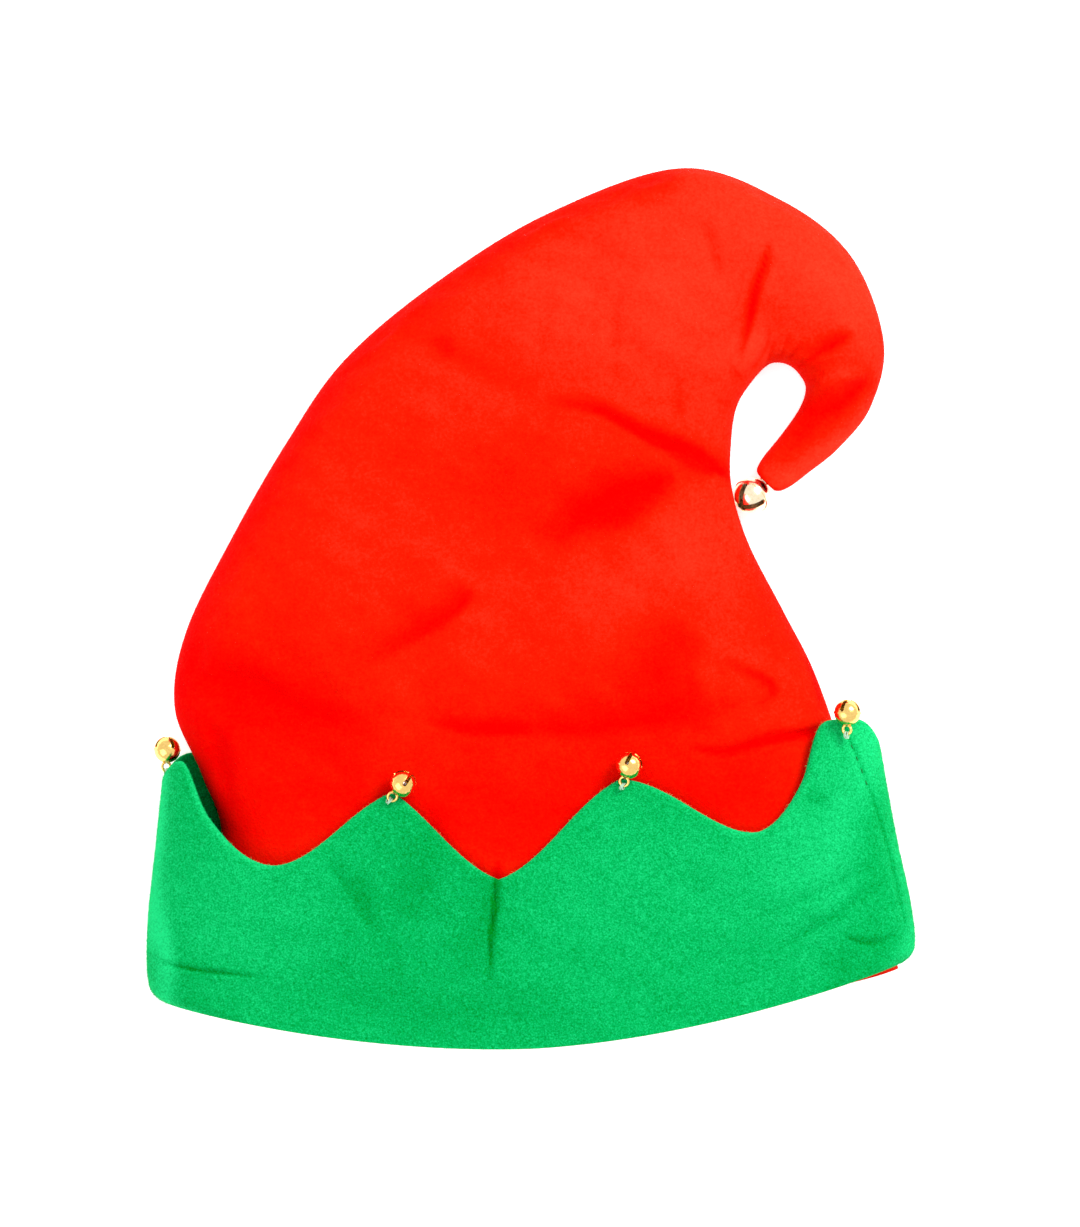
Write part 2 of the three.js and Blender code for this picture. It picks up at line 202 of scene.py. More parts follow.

# path, wide, deep, lean, peak, painted shade in the fold
CROWN_FOLDS = (
    # pulled to the tip bell
    Fold(((4.4, 76.9), (28.2, 70.9), (51.7, 61.4), (66, 54.6), (77, 47.5)), 2.4, 2.2, 0.4, 0.86, 0.75),
    Fold(((40, 67), (58, 54.5), (70, 50)), 2.2, 1, 0, 0.85, 0.4),
    Fold(((2, 20), (13.8, 30.5), (28.2, 40.3), (53.2, 48.5)), 6, 3.6, 0.5, 0.66, 0.45),
    Fold(((12, 22), (34, 33), (60, 41)), 8, -0.7, 0, 0.6),
    Fold(((-71.4, -25), (-49.8, -15.5), (-33.5, -3.8), (-20.3, 5.7)), 4, 1.8, 0.5, 0.85, 0.42),
    # down into the curl
    Fold(((90.6, 138), (84, 113), (78.6, 95)), 1.4, 1.9, -0.3, 0.45, 0.62),
    Fold(((122.5, 104.5), (114, 98.5), (104.5, 92)), 2, 2, -0.4, 0.45, 0.5),
    # ridge along the curl
    Fold(((131.5, 88.5), (116, 88.9), (106.5, 79.5), (98.5, 68)), 2.2, -2, 0, 0.3, -0.2),
    Fold(((131, 90.5), (121, 84), (108, 71), (94, 55)), 4, 2.6, 0.1, 0.16, 0.5),
    # gathers round the inside of the curl
    Fold(((82, 90), (87, 98), (88.5, 108)), 0.9, 0.8, 0, 0.2, 0.16),
    Fold(((88.5, 93), (90.5, 102)), 0.8, 0.7, 0, 0.2, 0.14),
    Fold(((93.5, 94), (96, 104)), 0.9, 0.9, 0, 0.2, 0.16),
    Fold(((97.5, 92.5), (102, 100)), 0.8, 0.8, 0, 0.2, 0.14),
    Fold(((101.5, 89.5), (108, 93.5)), 0.9, 0.8, 0, 0.2, 0.16),
    Fold(((80, 87), (75, 93.5)), 1, 0.6, 0, 0.2, 0.12),
    Fold(((76, 78), (69.5, 80.5)), 1.1, 0.5, 0, 0.2, 0.1),
    Fold(((-49.8, 103), (-19, 88.7), (0, 74.7)), 6, 1, 0.2, 0.4, 0.14),
    Fold(((-38, 100), (-30, 93)), 4, 0.6, 0, 0.5, 0.12),
    # above the cuff
    Fold(((-132, -18), (-110, -30), (-87.4, -40), (-49.5, -43)), 9, 2, -0.2, 0.3, 0.16),
    Fold(((-41, -43), (-24, -45), (2, -46.5)), 2.2, 1.2, 0.3, 0.55, 0.42),
    Fold(((-20, -45.5), (12, -47), (36, -45), (64, -40), (93, -31)), 5, 1.6, 0.2, 0.4, 0.28),
    Fold(((30, -34), (47, -22), (62, -10)), 12, 1.4, 0, 0.5, 0.12),
    Fold(((70.7, -17.8), (87.4, -27.3), (90.8, -33), (84, -38)), 1.8, 0.9, 0, 0.6, 0.35),
    Fold(((60.5, -28.5), (70, -27)), 8, -1.2, 0, 0.5, -0.08),
    Fold(((58, -51.5), (72, -53.4), (85.1, -52.3), (100, -48.8), (112, -44.5)), 1.35, 3, 0.2, 0.85, 0.7),
    Fold(((-121, -44), (-116.2, -66), (-114, -80)), 3.4, 1.2, 0, 0.3, 0.16),
    Fold(((94.6, 1.1), (104, -16), (111.2, -37.5)), 0.9, 0.8, 0, 0.6, 0.45),  # side seam
    Fold(((54.4, 87), (55.5, 68)), 2.2, 0.5, 0, 0.5, 0.12),
    Fold(((64.2, 145.5), (69.9, 121)), 2, 0.6, 0, 0.5, 0.1),
    Fold(((-57, -63), (-50, -78)), 5, 0.7, 0, 0.5, 0.1),
    Fold(((33, 125), (30, 85)), 2.2, 0.5, 0, 0.5, 0.07),
    Fold(((6, 122), (2, 90)), 2.6, 0.5, 0, 0.5, 0.05),
)

# path, wide, deep, lean, peak, painted shade in the fold
CUFF_FOLDS = (
    # middle seam
    Fold(((-12.7, -95), (-13.8, -112), (-14.8, -124), (-16, -141)), 0.85, 1.6, 0, 0.2, 0.9),
    Fold(((-15.5, -98), (-19, -120), (-24, -140)), 6, 0.8, 0, 0.35, 0.14),
    Fold(((-144.4, -129), (-134, -134.6), (-100, -138.4)), 1, 1.1, 0, 0.3, 0.5),
    Fold(((-79, -92), (-68, -108), (-58, -124)), 2.8, 0.9, 0.2, 0.5, 0.16),
    Fold(((-66, -98), (-61, -112)), 3, 0.5, 0, 0.5, 0.1),
    Fold(((-52, -96), (-40, -118)), 7, 0.5, 0, 0.5, 0.1),
    Fold(((88, -132), (112, -117), (135, -102)), 2.2, 1, 0.2, 0.5, 0.17),
    Fold(((84, -116), (108, -108), (128, -96)), 2.4, 0.8, 0, 0.5, 0.1),
    Fold(((115, -122.6), (130, -126.5), (143.8, -119.8)), 1.5, 0.9, 0, 0.6, 0.22),
    Fold(((102, -70.5), (114, -74.5)), 4, 0.8, 0, 0.5, 0.17),
    Fold(((-100, -142), (-40, -153), (20, -153)), 8, 0.8, 0, 0.5, 0.1),
    Fold(((-40, -74), (-30, -92)), 5, 0.6, 0, 0.5, 0.12),
)

# patches of painted light and shade on the crown's front
# middle, reach, turn, tone
CROWN_PAINTED_LIGHT = (
    PaintedLightPatch((-98, -37), (44, 22), -12, -0.28),  # painted shade under the bulge on the left
    PaintedLightPatch((-95, 0), (30, 30), 0, -0.06),
    PaintedLightPatch((-10, -76), (135, 26), 3, -0.31),
    PaintedLightPatch((90, -62), (40, 16), 8, -0.12),
    PaintedLightPatch((-19, -63), (18, 8), 0, 0.07),
    PaintedLightPatch((10, -38), (70, 13), 0, -0.08),
    PaintedLightPatch((46, -24), (24, 17), 20, -0.2),
    PaintedLightPatch((98, -4), (14, 42), 28, -0.18),
    PaintedLightPatch((37, 40), (19, 7), 22, -0.5),
    PaintedLightPatch((45, 15), (32, 14), 25, 0.1),
    PaintedLightPatch((-8, 47), (34, 20), -10, -0.17),
    PaintedLightPatch((-78, 18), (18, 14), 0, 0.05),
    PaintedLightPatch((58, 128), (66, 34), 15, 0.19),
    PaintedLightPatch((115, 120), (14, 22), 20, 0.2),
    PaintedLightPatch((110, 67), (20, 8), 46, 0.12),
    PaintedLightPatch((113, 58), (20, 6), 42, 0.34),
    PaintedLightPatch((90, 96), (17, 8), 5, 0.26),
)

# patches of painted light and shade on the cuff
# middle, reach, turn, tone
CUFF_PAINTED_LIGHT = (
    PaintedLightPatch((-144.5, -98), (6, 60), 0, 0.5),  # painted sheen beside the left edge
    PaintedLightPatch((-118, -112), (32, 36), 0, 0.12),
    PaintedLightPatch((112, -88), (34, 34), 0, 0.16),
    PaintedLightPatch((138, -84), (11, 62), -10, -0.34),
    PaintedLightPatch((40, -104), (45, 26), 0, 0.06),
    PaintedLightPatch((-34, -88), (26, 24), 0, -0.1),
    PaintedLightPatch((-50, -126), (30, 14), -20, -0.06),
)

# edge of the bag that faces away from the light, along which shade is painted
CROWN_RIM = (
    (-136, -20), (-129, 4), (-109, 38), (-89, 71), (-67, 98), (-34, 124.5), (8, 149), (48, 163),
)

SIDE_SEAM = ((118.3, -45.5), (125.6, -62.9), (135, -91.3), (141, -117.9))
SEEN_STITCHES = 0.32  # share of the side seam whose stitches are not buried in the pile


@dataclass(frozen=True)
class BellPlace:
    """Where a bell lies, which way its sewing loop points and how far the loop is turned out of flat."""

    node: str
    centre: tuple[float, float, float]
    aim: float
    dip: float
    turn: float


# node, centre, aim, dip, turn
POINT_BELLS = (
    BellPlace("point_bell_1", (-137.7, -53.3, 12.4), -93, 0, 30),
    BellPlace("point_bell_2", (-47.9, -65.6, 35.8), -129, 12, 8),
    BellPlace("point_bell_3", (37, -58.7, 35.7), -107, 9, -15),
    BellPlace("point_bell_4", (119.2, -39, 30.7), -92, 4, -30),
    BellPlace("point_bell_5", (48.4, -52.6, 5.3), -90, 20, 0),
    BellPlace("point_bell_6", (-42.4, -60.2, 5.3), -90, 20, 0),
)
REAR_BELLS = POINT_BELLS[4:]
TIP_BELL = BellPlace("tip_bell", (84, 43.1, 7.2), 47, 33, 45)


def frame_shift() -> np.ndarray:
    """Work out where the hat's own middle lies in the frame, from a ball whose place is known.

    Returns:
        The shift in millimetres.
    """
    low, high = (np.array(corner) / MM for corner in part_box("bell_ball_2"))
    middle = (low + high) / 2
    x, y, _ = POINT_BELLS[1].centre
    return np.array([middle[0] - x, middle[1] - y, 0.0])


# surface maths

SEAM_SHARE = 0.35  # height of the seam as a share of the hat's thickness
EDGE_ROLL = 12.0  # width over which the lower panel rises to the seam
BOW_POWER = 1.8  # how evenly a section's sag is spread across it, 2 for a parabola
LEAST_FLAT = 0.15  # share of the narrowest sections that stays flat below
SEAM_REACH = 16  # power that keeps what belongs to the seam close to the outline
LOWEST = 0.02  # least height of the cloth over the floor

FOLD_EDGE = 1.6  # power of a valley's section, 2 for a bell curve
SHOULDER = 0.16  # height of the ridges beside a valley, as a share of its depth
SHOULDER_AT = 1.9  # distance of those ridges, in widths of the valley
TAPER = 0.8  # power with which a fold fades towards its ends
LEAST_RUN = 0.02  # least share of a fold's length on either side of its peak
FOLD_SHADE_NARROW = 0.85  # how much wider than its valley the painted shade of a fold is
FOLD_SHADE_EDGE = 1.5  # power of its section


def smooth_between(a: Grid, b: Grid, c: Grid, d: Grid, s: Grid | float) -> Grid:
    """Read a smooth curve at the share s of the way from b to c, which comes from a and goes on to d."""
    return b + 0.5 * s * (c - a + s * (2 * a - 5 * b + 4 * c - d + s * (3 * (b - c) + d - a)))


def hump(away: Grid, reach: float) -> Grid:
    """Give 1 at no distance, which fades softly to nothing past the reach."""
    return np.exp(-((away / reach) ** 2))


def rise(value: Grid, start: float, width: float) -> Grid:
    """Climb from 0 at the start to 1 a width later."""
    return np.clip((value - start) / width, 0, 1)


def at_outline(angle: Grid) -> Grid:
    """Give 1 at the seam along the outline, which falls to 0 within a few columns."""
    return np.abs(np.cos(angle)) ** SEAM_REACH


class Sections:
    """A table of cross-sections, read at any place between its rows."""

    def __init__(self, rows: Sequence[Section]) -> None:
        """Keep the rows as columns of numbers.

        Args:
            rows: The cross-sections in order.
        """
        self.table = np.array([[*r.left, *r.right, r.bow, r.thick, r.lift, r.full] for r in rows], float)

    def at(self, place: Grid) -> list[Grid]:
        """Read every column along a smooth curve through the rows.

        Args:
            place: Row numbers, whole or between two rows.

        Returns:
            One array for each column of the table.
        """
        last = len(self.table) - 1
        row = np.clip(np.floor(place).astype(int), 0, last - 1)
        s = (place - row)[..., None]
        a, b, c, d = (self.table[np.clip(row + i, 0, last)] for i in (-1, 0, 1, 2))
        mixed = smooth_between(a, b, c, d, s)
        return [mixed[..., i] for i in range(mixed.shape[-1])]

    def points(self, place: Grid, angle: Grid, inset: float = 0.0) -> Grid:
        """Find points of the sections.

        Args:
            place: Row numbers.
            angle: 0 at the left seam and pi at the right one, over the front and back over the rear.
            inset: How far into the cloth.

        Returns:
            The points in millimetres, in the hat's own frame.
        """
        left_x, left_y, right_x, right_y, bow, thick, lift, full = self.at(place)
        across = -np.cos(angle)
        chord_x, chord_y = right_x - left_x, right_y - left_y
        chord = np.hypot(chord_x, chord_y)
        half = chord / 2 - inset
        sag = bow * (1 - np.abs(across) ** BOW_POWER)
        x = (left_x + right_x) / 2 + (across * half * chord_x + sag * chord_y) / chord
        y = (left_y + right_y) / 2 + (across * half * chord_y - sag * chord_x) / chord
        seam = SEAM_SHARE * thick
        dome = np.sqrt(np.maximum(0, 1 - np.abs(across) ** full))
        upper = lift + seam + (thick - seam - inset) * dome
        flat = np.maximum(LEAST_FLAT, 1 - EDGE_ROLL / half)
        roll = np.clip((np.abs(across) - flat) / (1 - flat), 0, 1)
        climb = 1 - np.sqrt(1 - np.minimum(1, roll**2))
        lower = lift + inset + (seam - inset) * climb
        z = np.where(np.sin(angle) >= -1e-9, upper, lower)
        return np.stack([x, y, np.maximum(z, inset)], axis=-1)


def ripple(x: Grid, y: Grid, size: float, seed: int) -> Grid:
    """Give soft uneven relief, from a few crossed waves.

    Args:
        x: Places across.
        y: Places along.
        size: Usual width of a hump.
        seed: Which pattern.

    Returns:
        Values that average 0 and mostly stay within -1 to 1.
    """
    rng = np.random.default_rng(seed)
    total = np.zeros_like(x)
    waves, usual_sum = 9, 4.2
    for _ in range(waves):
        heading = rng.uniform(0, FULL_TURN)
        pitch = math.pi / (size * rng.uniform(0.7, 1.5))
        phase = rng.uniform(0, FULL_TURN)
        total += np.sin(pitch * (x * math.cos(heading) + y * math.sin(heading)) + phase)
    return total / usual_sum


@dataclass(frozen=True)
class Ripple:
    """Soft uneven relief: its height, the usual width of a hump, and which pattern it is."""

    high: float
    wide: float
    seed: int

    def over(self, x: Grid, y: Grid) -> Grid:
        """Give the relief's height at points of the plan."""
        return self.high * ripple(x, y, self.wide, self.seed)


# high, wide, seed
PATH_STRAY_X, PATH_STRAY_Y = Ripple(1, 16, 3), Ripple(1, 16, 4)
FOLD_STRENGTH = Ripple(0.2, 24, 5)
CROWN_SLACK = Ripple(0.8, 26, 11)
CROWN_DENTS = Ripple(0.25, 8, 12)
REAR_SLACK = Ripple(0.8, 30, 13)
SEAM_PUCKERS = Ripple(0.35, 5, 14)
CUFF_DENTS = Ripple(0.22, 13, 21)
CUFF_SLACK = Ripple(0.35, 40, 22)
CUFF_TUFTS = Ripple(0.13, 2.2, 23)
# wobble of the edges of the patches of painted light and shade
PAINT_STRAY_X, PAINT_STRAY_Y = Ripple(6, 30, 31), Ripple(6, 30, 32)


def path_places(x: Grid, y: Grid, path: Sequence[tuple[float, float]]) -> tuple[Grid, Grid, Grid]:
    """Find where points lie beside a path of straight runs.

    Args:
        x: Places across.
        y: Places along.
        path: The path's corners.

    Returns:
        The distance of each point, the side it lies on (1 left, -1 right) and how far along the path it is.
    """
    corners = np.array(path, float)
    runs = np.hypot(*np.diff(corners, axis=0).T)
    starts = np.concatenate([[0], np.cumsum(runs)])
    away = np.full(x.shape, 1e9)
    side = np.ones(x.shape)
    along = np.zeros(x.shape)
    for (ax, ay), (bx, by), run, start in zip(corners, corners[1:], runs, starts):
        dx, dy = (bx - ax) / run, (by - ay) / run
        reach = (x - ax) * dx + (y - ay) * dy
        held = np.clip(reach, 0, run)
        far = np.hypot(x - ax - held * dx, y - ay - held * dy)
        near = far < away
        away = np.where(near, far, away)
        side = np.where(near, np.sign(dx * (y - ay) - dy * (x - ax)), side)
        along = np.where(near, (start + held) / starts[-1], along)
    return away, side, along


def fold_relief(x: Grid, y: Grid, folds: Sequence[Fold], wobble: float = 1.2) -> tuple[Grid, Grid]:
    """Add up the folds of a table over the plan.

    Args:
        x: Places across.
        y: Places along.
        folds: The folds.
        wobble: How far the paths stray, so that none is a ruled line.

    Returns:
        The height that the folds add, and the painted shade along them.
    """
    wx = x + wobble * PATH_STRAY_X.over(x, y)
    wy = y + wobble * PATH_STRAY_Y.over(x, y)
    strength = 1 + FOLD_STRENGTH.over(x, y)
    height = np.zeros_like(x)
    painted_fold_shade = np.zeros_like(x)
    for fold in folds:
        away, side, along = path_places(wx, wy, smooth_path(fold.path))
        wide = fold.wide * (1 + fold.lean * side)
        rising = np.clip(along / max(fold.peak, LEAST_RUN), 0, 1)
        falling = np.clip((1 - along) / max(1 - fold.peak, LEAST_RUN), 0, 1)
        taper = (rising * falling * (2 - rising) * (2 - falling)) ** TAPER
        aside = away / wide
        valley = np.exp(-(aside**FOLD_EDGE))
        shoulder = SHOULDER * np.exp(-((aside - SHOULDER_AT) ** 2))
        height += fold.deep * (shoulder - valley) * strength * taper
        # painted shade along the fold, darkest in its valley
        painted_fold_shade += fold.painted_fold_shade * np.exp(-((FOLD_SHADE_NARROW * aside) ** FOLD_SHADE_EDGE)) * taper
    return height, painted_fold_shade


def painted_patch_tone(x: Grid, y: Grid, patches: Sequence[PaintedLightPatch]) -> Grid:
    """Add up the patches of painted light and shade over the plan."""
    patch_edge = 1.2
    wx, wy = x + PAINT_STRAY_X.over(x, y), y + PAINT_STRAY_Y.over(x, y)
    tone = np.zeros_like(x)
    for patch in patches:
        turn = math.radians(patch.turn)
        dx, dy = wx - patch.middle[0], wy - patch.middle[1]
        across = (dx * math.cos(turn) + dy * math.sin(turn)) / patch.reach[0]
        along = (dy * math.cos(turn) - dx * math.sin(turn)) / patch.reach[1]
        tone += patch.tone * np.exp(-((across**2 + along**2) ** patch_edge))
    return tone


def slopes(points: Grid) -> tuple[Grid, Grid]:
    """Work out how a grid of points leans: the sideways parts of its outward normals."""
    down_rows = np.gradient(points, axis=0)
    down_columns = np.gradient(points, axis=1)
    normal = np.cross(down_columns, down_rows)
    normal /= np.maximum(np.linalg.norm(normal, axis=-1, keepdims=True), 1e-9)
    return normal[..., 0], normal[..., 1]


def smooth_path(path: Sequence[tuple[float, float]], steps: int = 4) -> list[tuple[float, float]]:
    """Round the corners of a path.

    Args:
        path: The path's corners.
        steps: Runs between two corners.

    Returns:
        More points along a smooth curve through the same corners.
    """
    points = np.array([path[0], *path, path[-1]], float)
    found = []
    for a, b, c, d in zip(points, points[1:], points[2:], points[3:]):
        for s in np.arange(steps) / steps:
            mixed = smooth_between(a, b, c, d, s)
            found.append((float(mixed[0]), float(mixed[1])))
    return [*found, tuple(path[-1])]


def resample(grid: Grid, rows: Grid, columns: Grid) -> Grid:
    """Read a coarse grid of vectors at finer places, along smooth curves.

    Args:
        grid: Vectors in rows and columns; the columns close on themselves.
        rows: Row places to read.
        columns: Column places to read.

    Returns:
        The vectors at every row place and column place.
    """

    def along(values: Grid, places: Grid, closed: bool) -> Grid:
        count = len(values)
        base = np.floor(places).astype(int)
        s = (places - base).reshape(-1, *([1] * (values.ndim - 1)))
        pick = (lambda i: i % count) if closed else (lambda i: np.clip(i, 0, count - 1))
        a, b, c, d = (values[pick(base + i)] for i in (-1, 0, 1, 2))
        return smooth_between(a, b, c, d, s)

    by_row = along(grid, rows, closed=False)
    return along(by_row.swapaxes(0, 1), columns, closed=True).swapaxes(0, 1)


# meshes


def deselect_all() -> None:
    """Leave object mode with nothing selected."""
    if bpy.context.object and bpy.context.object.mode != "OBJECT":
        bpy.ops.object.mode_set(mode="OBJECT")
    bpy.ops.object.select_all(action="DESELECT")


def make_active(piece: bpy.types.Object) -> None:
    """Select one piece alone and make it the active one."""
    deselect_all()
    piece.select_set(True)
    bpy.context.view_layer.objects.active = piece


def link_piece(name: str, mesh: bpy.types.Mesh) -> bpy.types.Object:
    """Put a mesh into the scene as a piece."""
    piece = bpy.data.objects.new(name, mesh)
    bpy.context.scene.collection.objects.link(piece)
    return piece


def join_pieces(parts: Sequence[bpy.types.Object], name: str) -> bpy.types.Object:
    """Join pieces into the first of them, and name it."""
    deselect_all()
    for part in parts:
        part.select_set(True)
    bpy.context.view_layer.objects.active = parts[0]
    bpy.ops.object.join()
    bpy.context.object.name = name
    return bpy.context.object


def set_painted_light(mesh: bpy.types.Mesh, nap: Grid) -> None:
    """Write down the painted light and shade at each point, which the plush material reads as its tone."""
    mesh.attributes.new("nap", "FLOAT", "POINT").data.foreach_set("value", nap.ravel().astype(np.float32))


def grid_mesh(
    name: str, points: Grid, close_columns: bool = False, close_rows: bool = False, nap: Grid | None = None
) -> bpy.types.Object:
    """Make a piece from a grid of points.

    Args:
        name: The piece's name.
        points: Rows of points in millimetres, in the frame.
        close_columns: Whether the last column joins the first.
        close_rows: Whether the last row joins the first.
        nap: The painted light and shade at each point.

    Returns:
        The piece, smooth shaded.
    """
    rows, columns = points.shape[:2]
    row_runs = rows if close_rows else rows - 1
    column_runs = columns if close_columns else columns - 1
    r, c = (axis.ravel() for axis in np.meshgrid(np.arange(row_runs), np.arange(column_runs), indexing="ij"))
    r1, c1 = (r + 1) % rows, (c + 1) % columns
    quads = np.stack([r * columns + c, r * columns + c1, r1 * columns + c1, r1 * columns + c], axis=1)
    mesh = bpy.data.meshes.new(name)
    mesh.vertices.add(rows * columns)
    mesh.vertices.foreach_set("co", (points.reshape(-1, 3) * MM).ravel())
    mesh.loops.add(quads.size)
    mesh.loops.foreach_set("vertex_index", quads.ravel())
    mesh.polygons.add(len(quads))
    mesh.polygons.foreach_set("loop_start", np.arange(0, quads.size, 4))
    mesh.polygons.foreach_set("loop_total", np.full(len(quads), 4))
    mesh.update()
    mesh.validate()
    mesh.polygons.foreach_set("use_smooth", np.ones(len(quads), bool))
    if nap is not None:
        set_painted_light(mesh, nap)
    return link_piece(name, mesh)


def apply_modifier(piece: bpy.types.Object, kind: str, **settings: Any) -> None:
    """Add a modifier, set it and apply it.

    Args:
        piece: The piece to finish.
        kind: Blender's name of the modifier.
        **settings: Its settings.
    """
    make_active(piece)
    modifier = piece.modifiers.new(kind.lower(), kind)
    for setting, value in settings.items():
        setattr(modifier, setting, value)
    bpy.ops.object.modifier_apply(modifier=modifier.name)


# materials


class Wire:
    """A socket in a material's maths: expressions on wires add Math nodes."""

    def __init__(self, bench: "Bench", socket: bpy.types.NodeSocket) -> None:
        """Hold a socket of a bench's material."""
        self.bench = bench
        self.socket = socket

    def _join(self, operation: str, first: Any, second: Any) -> "Wire":
        """Add one Math node."""
        return self.bench.node("ShaderNodeMath", {"operation": operation}, {0: first, 1: second})

    def __add__(self, other: Any) -> "Wire":
        """Add a wire or number."""
        return self._join("ADD", self, other)

    __radd__ = __add__

    def __sub__(self, other: Any) -> "Wire":
        """Take a wire or number away."""
        return self._join("SUBTRACT", self, other)

    def __rsub__(self, other: Any) -> "Wire":
        """Take this wire away from a number."""
        return self._join("SUBTRACT", other, self)

    def __mul__(self, other: Any) -> "Wire":
        """Multiply by a wire or number."""
        return self._join("MULTIPLY", self, other)

    __rmul__ = __mul__

class Bench:
    """A new node material under work."""

    def __init__(self, name: str) -> None:
        """Start a material with a Principled shader and an output.

        Args:
            name: The material's name.
        """
        self.material = bpy.data.materials.new(name)
        self.material.use_nodes = True
        self.tree = self.material.node_tree
        self.tree.nodes.clear()
        self.shader = self.tree.nodes.new("ShaderNodeBsdfPrincipled")
        output = self.tree.nodes.new("ShaderNodeOutputMaterial")
        self.tree.links.new(self.shader.outputs["BSDF"], output.inputs["Surface"])
        self.places = self.node("ShaderNodeTexCoord", {}, {}, "Object")

    def node(self, kind: str, settings: dict[str, Any], inputs: dict[Any, Any], output: Any = 0) -> Wire:
        """Add a node.

        Args:
            kind: The node's type.
            settings: Its settings, which are set before its sockets. "stops" are a ramp's.
            inputs: Values or wires of its sockets, by name or number.
            output: The socket that the wire returned holds.

        Returns:
            A wire from the node.
        """
        node = self.tree.nodes.new(kind)
        for setting, value in settings.items():
            if setting == "stops":
                self._set_stops(node.color_ramp, value)
            else:
                setattr(node, setting, value)
        for socket, value in inputs.items():
            self.feed(node.inputs[socket], value)
        return Wire(self, node.outputs[output])

    @staticmethod
    def _set_stops(ramp: bpy.types.ColorRamp, stops: Sequence[tuple[float, tuple[float, ...]]]) -> None:
        """Give a ramp its stops."""
        while len(ramp.elements) < len(stops):
            ramp.elements.new(1)
        for element, (place, colour) in zip(ramp.elements, stops):
            element.position = place
            element.color = colour

    def feed(self, socket: bpy.types.NodeSocket, value: Any) -> None:
        """Link a wire to a socket, or set the socket's own value."""
        if isinstance(value, Wire):
            self.tree.links.new(value.socket, socket)
        else:
            socket.default_value = value

    def noise(self, scale: float, detail: float, rough: float, stretch: Colour = (1, 1, 1)) -> Wire:
        """Add a noise pattern on the piece's own coordinates.

        Args:
            scale: Humps in a metre.
            detail: Octaves.
            rough: Share of the finer octaves.
            stretch: How many times finer the pattern is along each axis.

        Returns:
            A wire with values about 0.5.
        """
        place = self.node("ShaderNodeMapping", {}, {"Vector": self.places, "Scale": stretch})
        return self.node(
            "ShaderNodeTexNoise",
            {"noise_dimensions": "3D"},
            {"Vector": place, "Scale": scale, "Detail": detail, "Roughness": rough},
        )

    def mix(self, share: Any, first: Any, second: Any) -> Wire:
        """Mix two colours."""
        return self.node("ShaderNodeMix", {"data_type": "RGBA"}, {0: share, 6: first, 7: second}, 2)

    def spread(self, value: Wire, low: float, high: float) -> Wire:
        """Stretch a wire's values from low to high over 0 to 1."""
        return self.node("ShaderNodeMapRange", {"clamp": True}, {0: value, 1: low, 2: high})

    def bump(self, height: Wire, depth: float, strength: float = 1.0) -> Wire:
        """Turn a height pattern into a normal."""
        return self.node("ShaderNodeBump", {}, {"Strength": strength, "Distance": depth, "Height": height})

    def finish(self, **sockets: Any) -> bpy.types.Material:
        """Set the shader's sockets.

        Args:
            **sockets: Values or wires, with _ for a space in the socket's name.

        Returns:
            The material.
        """
        for name, value in sockets.items():
            self.feed(self.shader.inputs[name.replace("_", " ")], value)
        return self.material


def rgba(colour: Colour) -> tuple[float, float, float, float]:
    """Add full cover to a colour."""
    return (*colour, 1.0)


@dataclass(frozen=True)
class PlushFinish:
    """Short-pile plush: tufts that vary at random in tone and relief, over painted light and shade that the mesh
    carries.
    """

    name: str
    # dark, middle and light are shaded, middle and lit copies of one colour, which the painted light and shade
    # picks between; deepen places the stop between dark and middle
    dark: Colour
    middle: Colour
    light: Colour
    tuft: float
    pile_depth: float
    sheen: float
    grain: float
    clump: float
    cloud: float
    deepen: float

    def material(self) -> bpy.types.Material:
        """Make the plush material."""
        bench = Bench(self.name)
        # the painted light and shade that the mesh carries
        nap = bench.node("ShaderNodeAttribute", {"attribute_name": "nap"}, {}, "Fac")
        tufts = bench.spread(bench.noise(1 / self.tuft, detail=3, rough=0.65), low=0.32, high=0.68)
        clumps = bench.spread(bench.noise(0.38 / self.tuft, detail=2, rough=0.5), low=0.3, high=0.7)
        clouds = bench.spread(bench.noise(90, detail=3, rough=0.55, stretch=(1, 1.5, 1)), low=0.3, high=0.7)
        # the painted light and shade, with random tufts, clumps and clouds, picks a shaded, middle or lit copy
        # of the colour
        shade = nap + self.grain * (tufts - 0.5) + self.clump * (clumps - 0.5) + self.cloud * (clouds - 0.5)
        between = tuple(d + (m - d) * self.deepen for d, m in zip(self.dark, self.middle))
        shades = {0.0: self.dark, 0.25: between, 0.5: self.middle, 1.0: self.light}
        stops = [(place, rgba(colour)) for place, colour in shades.items()]
        colour = bench.node("ShaderNodeValToRGB", {"stops": stops}, {0: shade})
        height = 0.6 * tufts + 0.4 * clumps
        return bench.finish(
            Base_Color=colour,
            Roughness=0.95 - 0.12 * tufts,
            Specular_IOR_Level=0.05,
            Specular_Tint=rgba(self.light),
            Sheen_Weight=self.sheen,
            Sheen_Roughness=0.4,
            Sheen_Tint=rgba(self.light),
            Normal=bench.bump(height, self.pile_depth, strength=0.8),
        )


@dataclass(frozen=True)
class MetalFinish:
    """Plated metal with faint smears and dulled spots."""

    name: str
    light: Colour
    dark: Colour
    rough: float

    def material(self) -> bpy.types.Material:
        """Make the metal material."""
        bench = Bench(self.name)
        smear = bench.spread(bench.noise(900, detail=3, rough=0.6), low=0.35, high=0.7)
        spots = bench.spread(bench.noise(3500, detail=2, rough=0.5), low=0.62, high=0.75)
        tarnish = 0.5 * smear + 0.5 * spots
        return bench.finish(
            Base_Color=bench.mix(tarnish, rgba(self.light), rgba(self.dark)),
            Metallic=1.0,
            Roughness=self.rough + 0.14 * smear,
            Normal=bench.bump(smear, depth=0.00004, strength=0.5),
        )


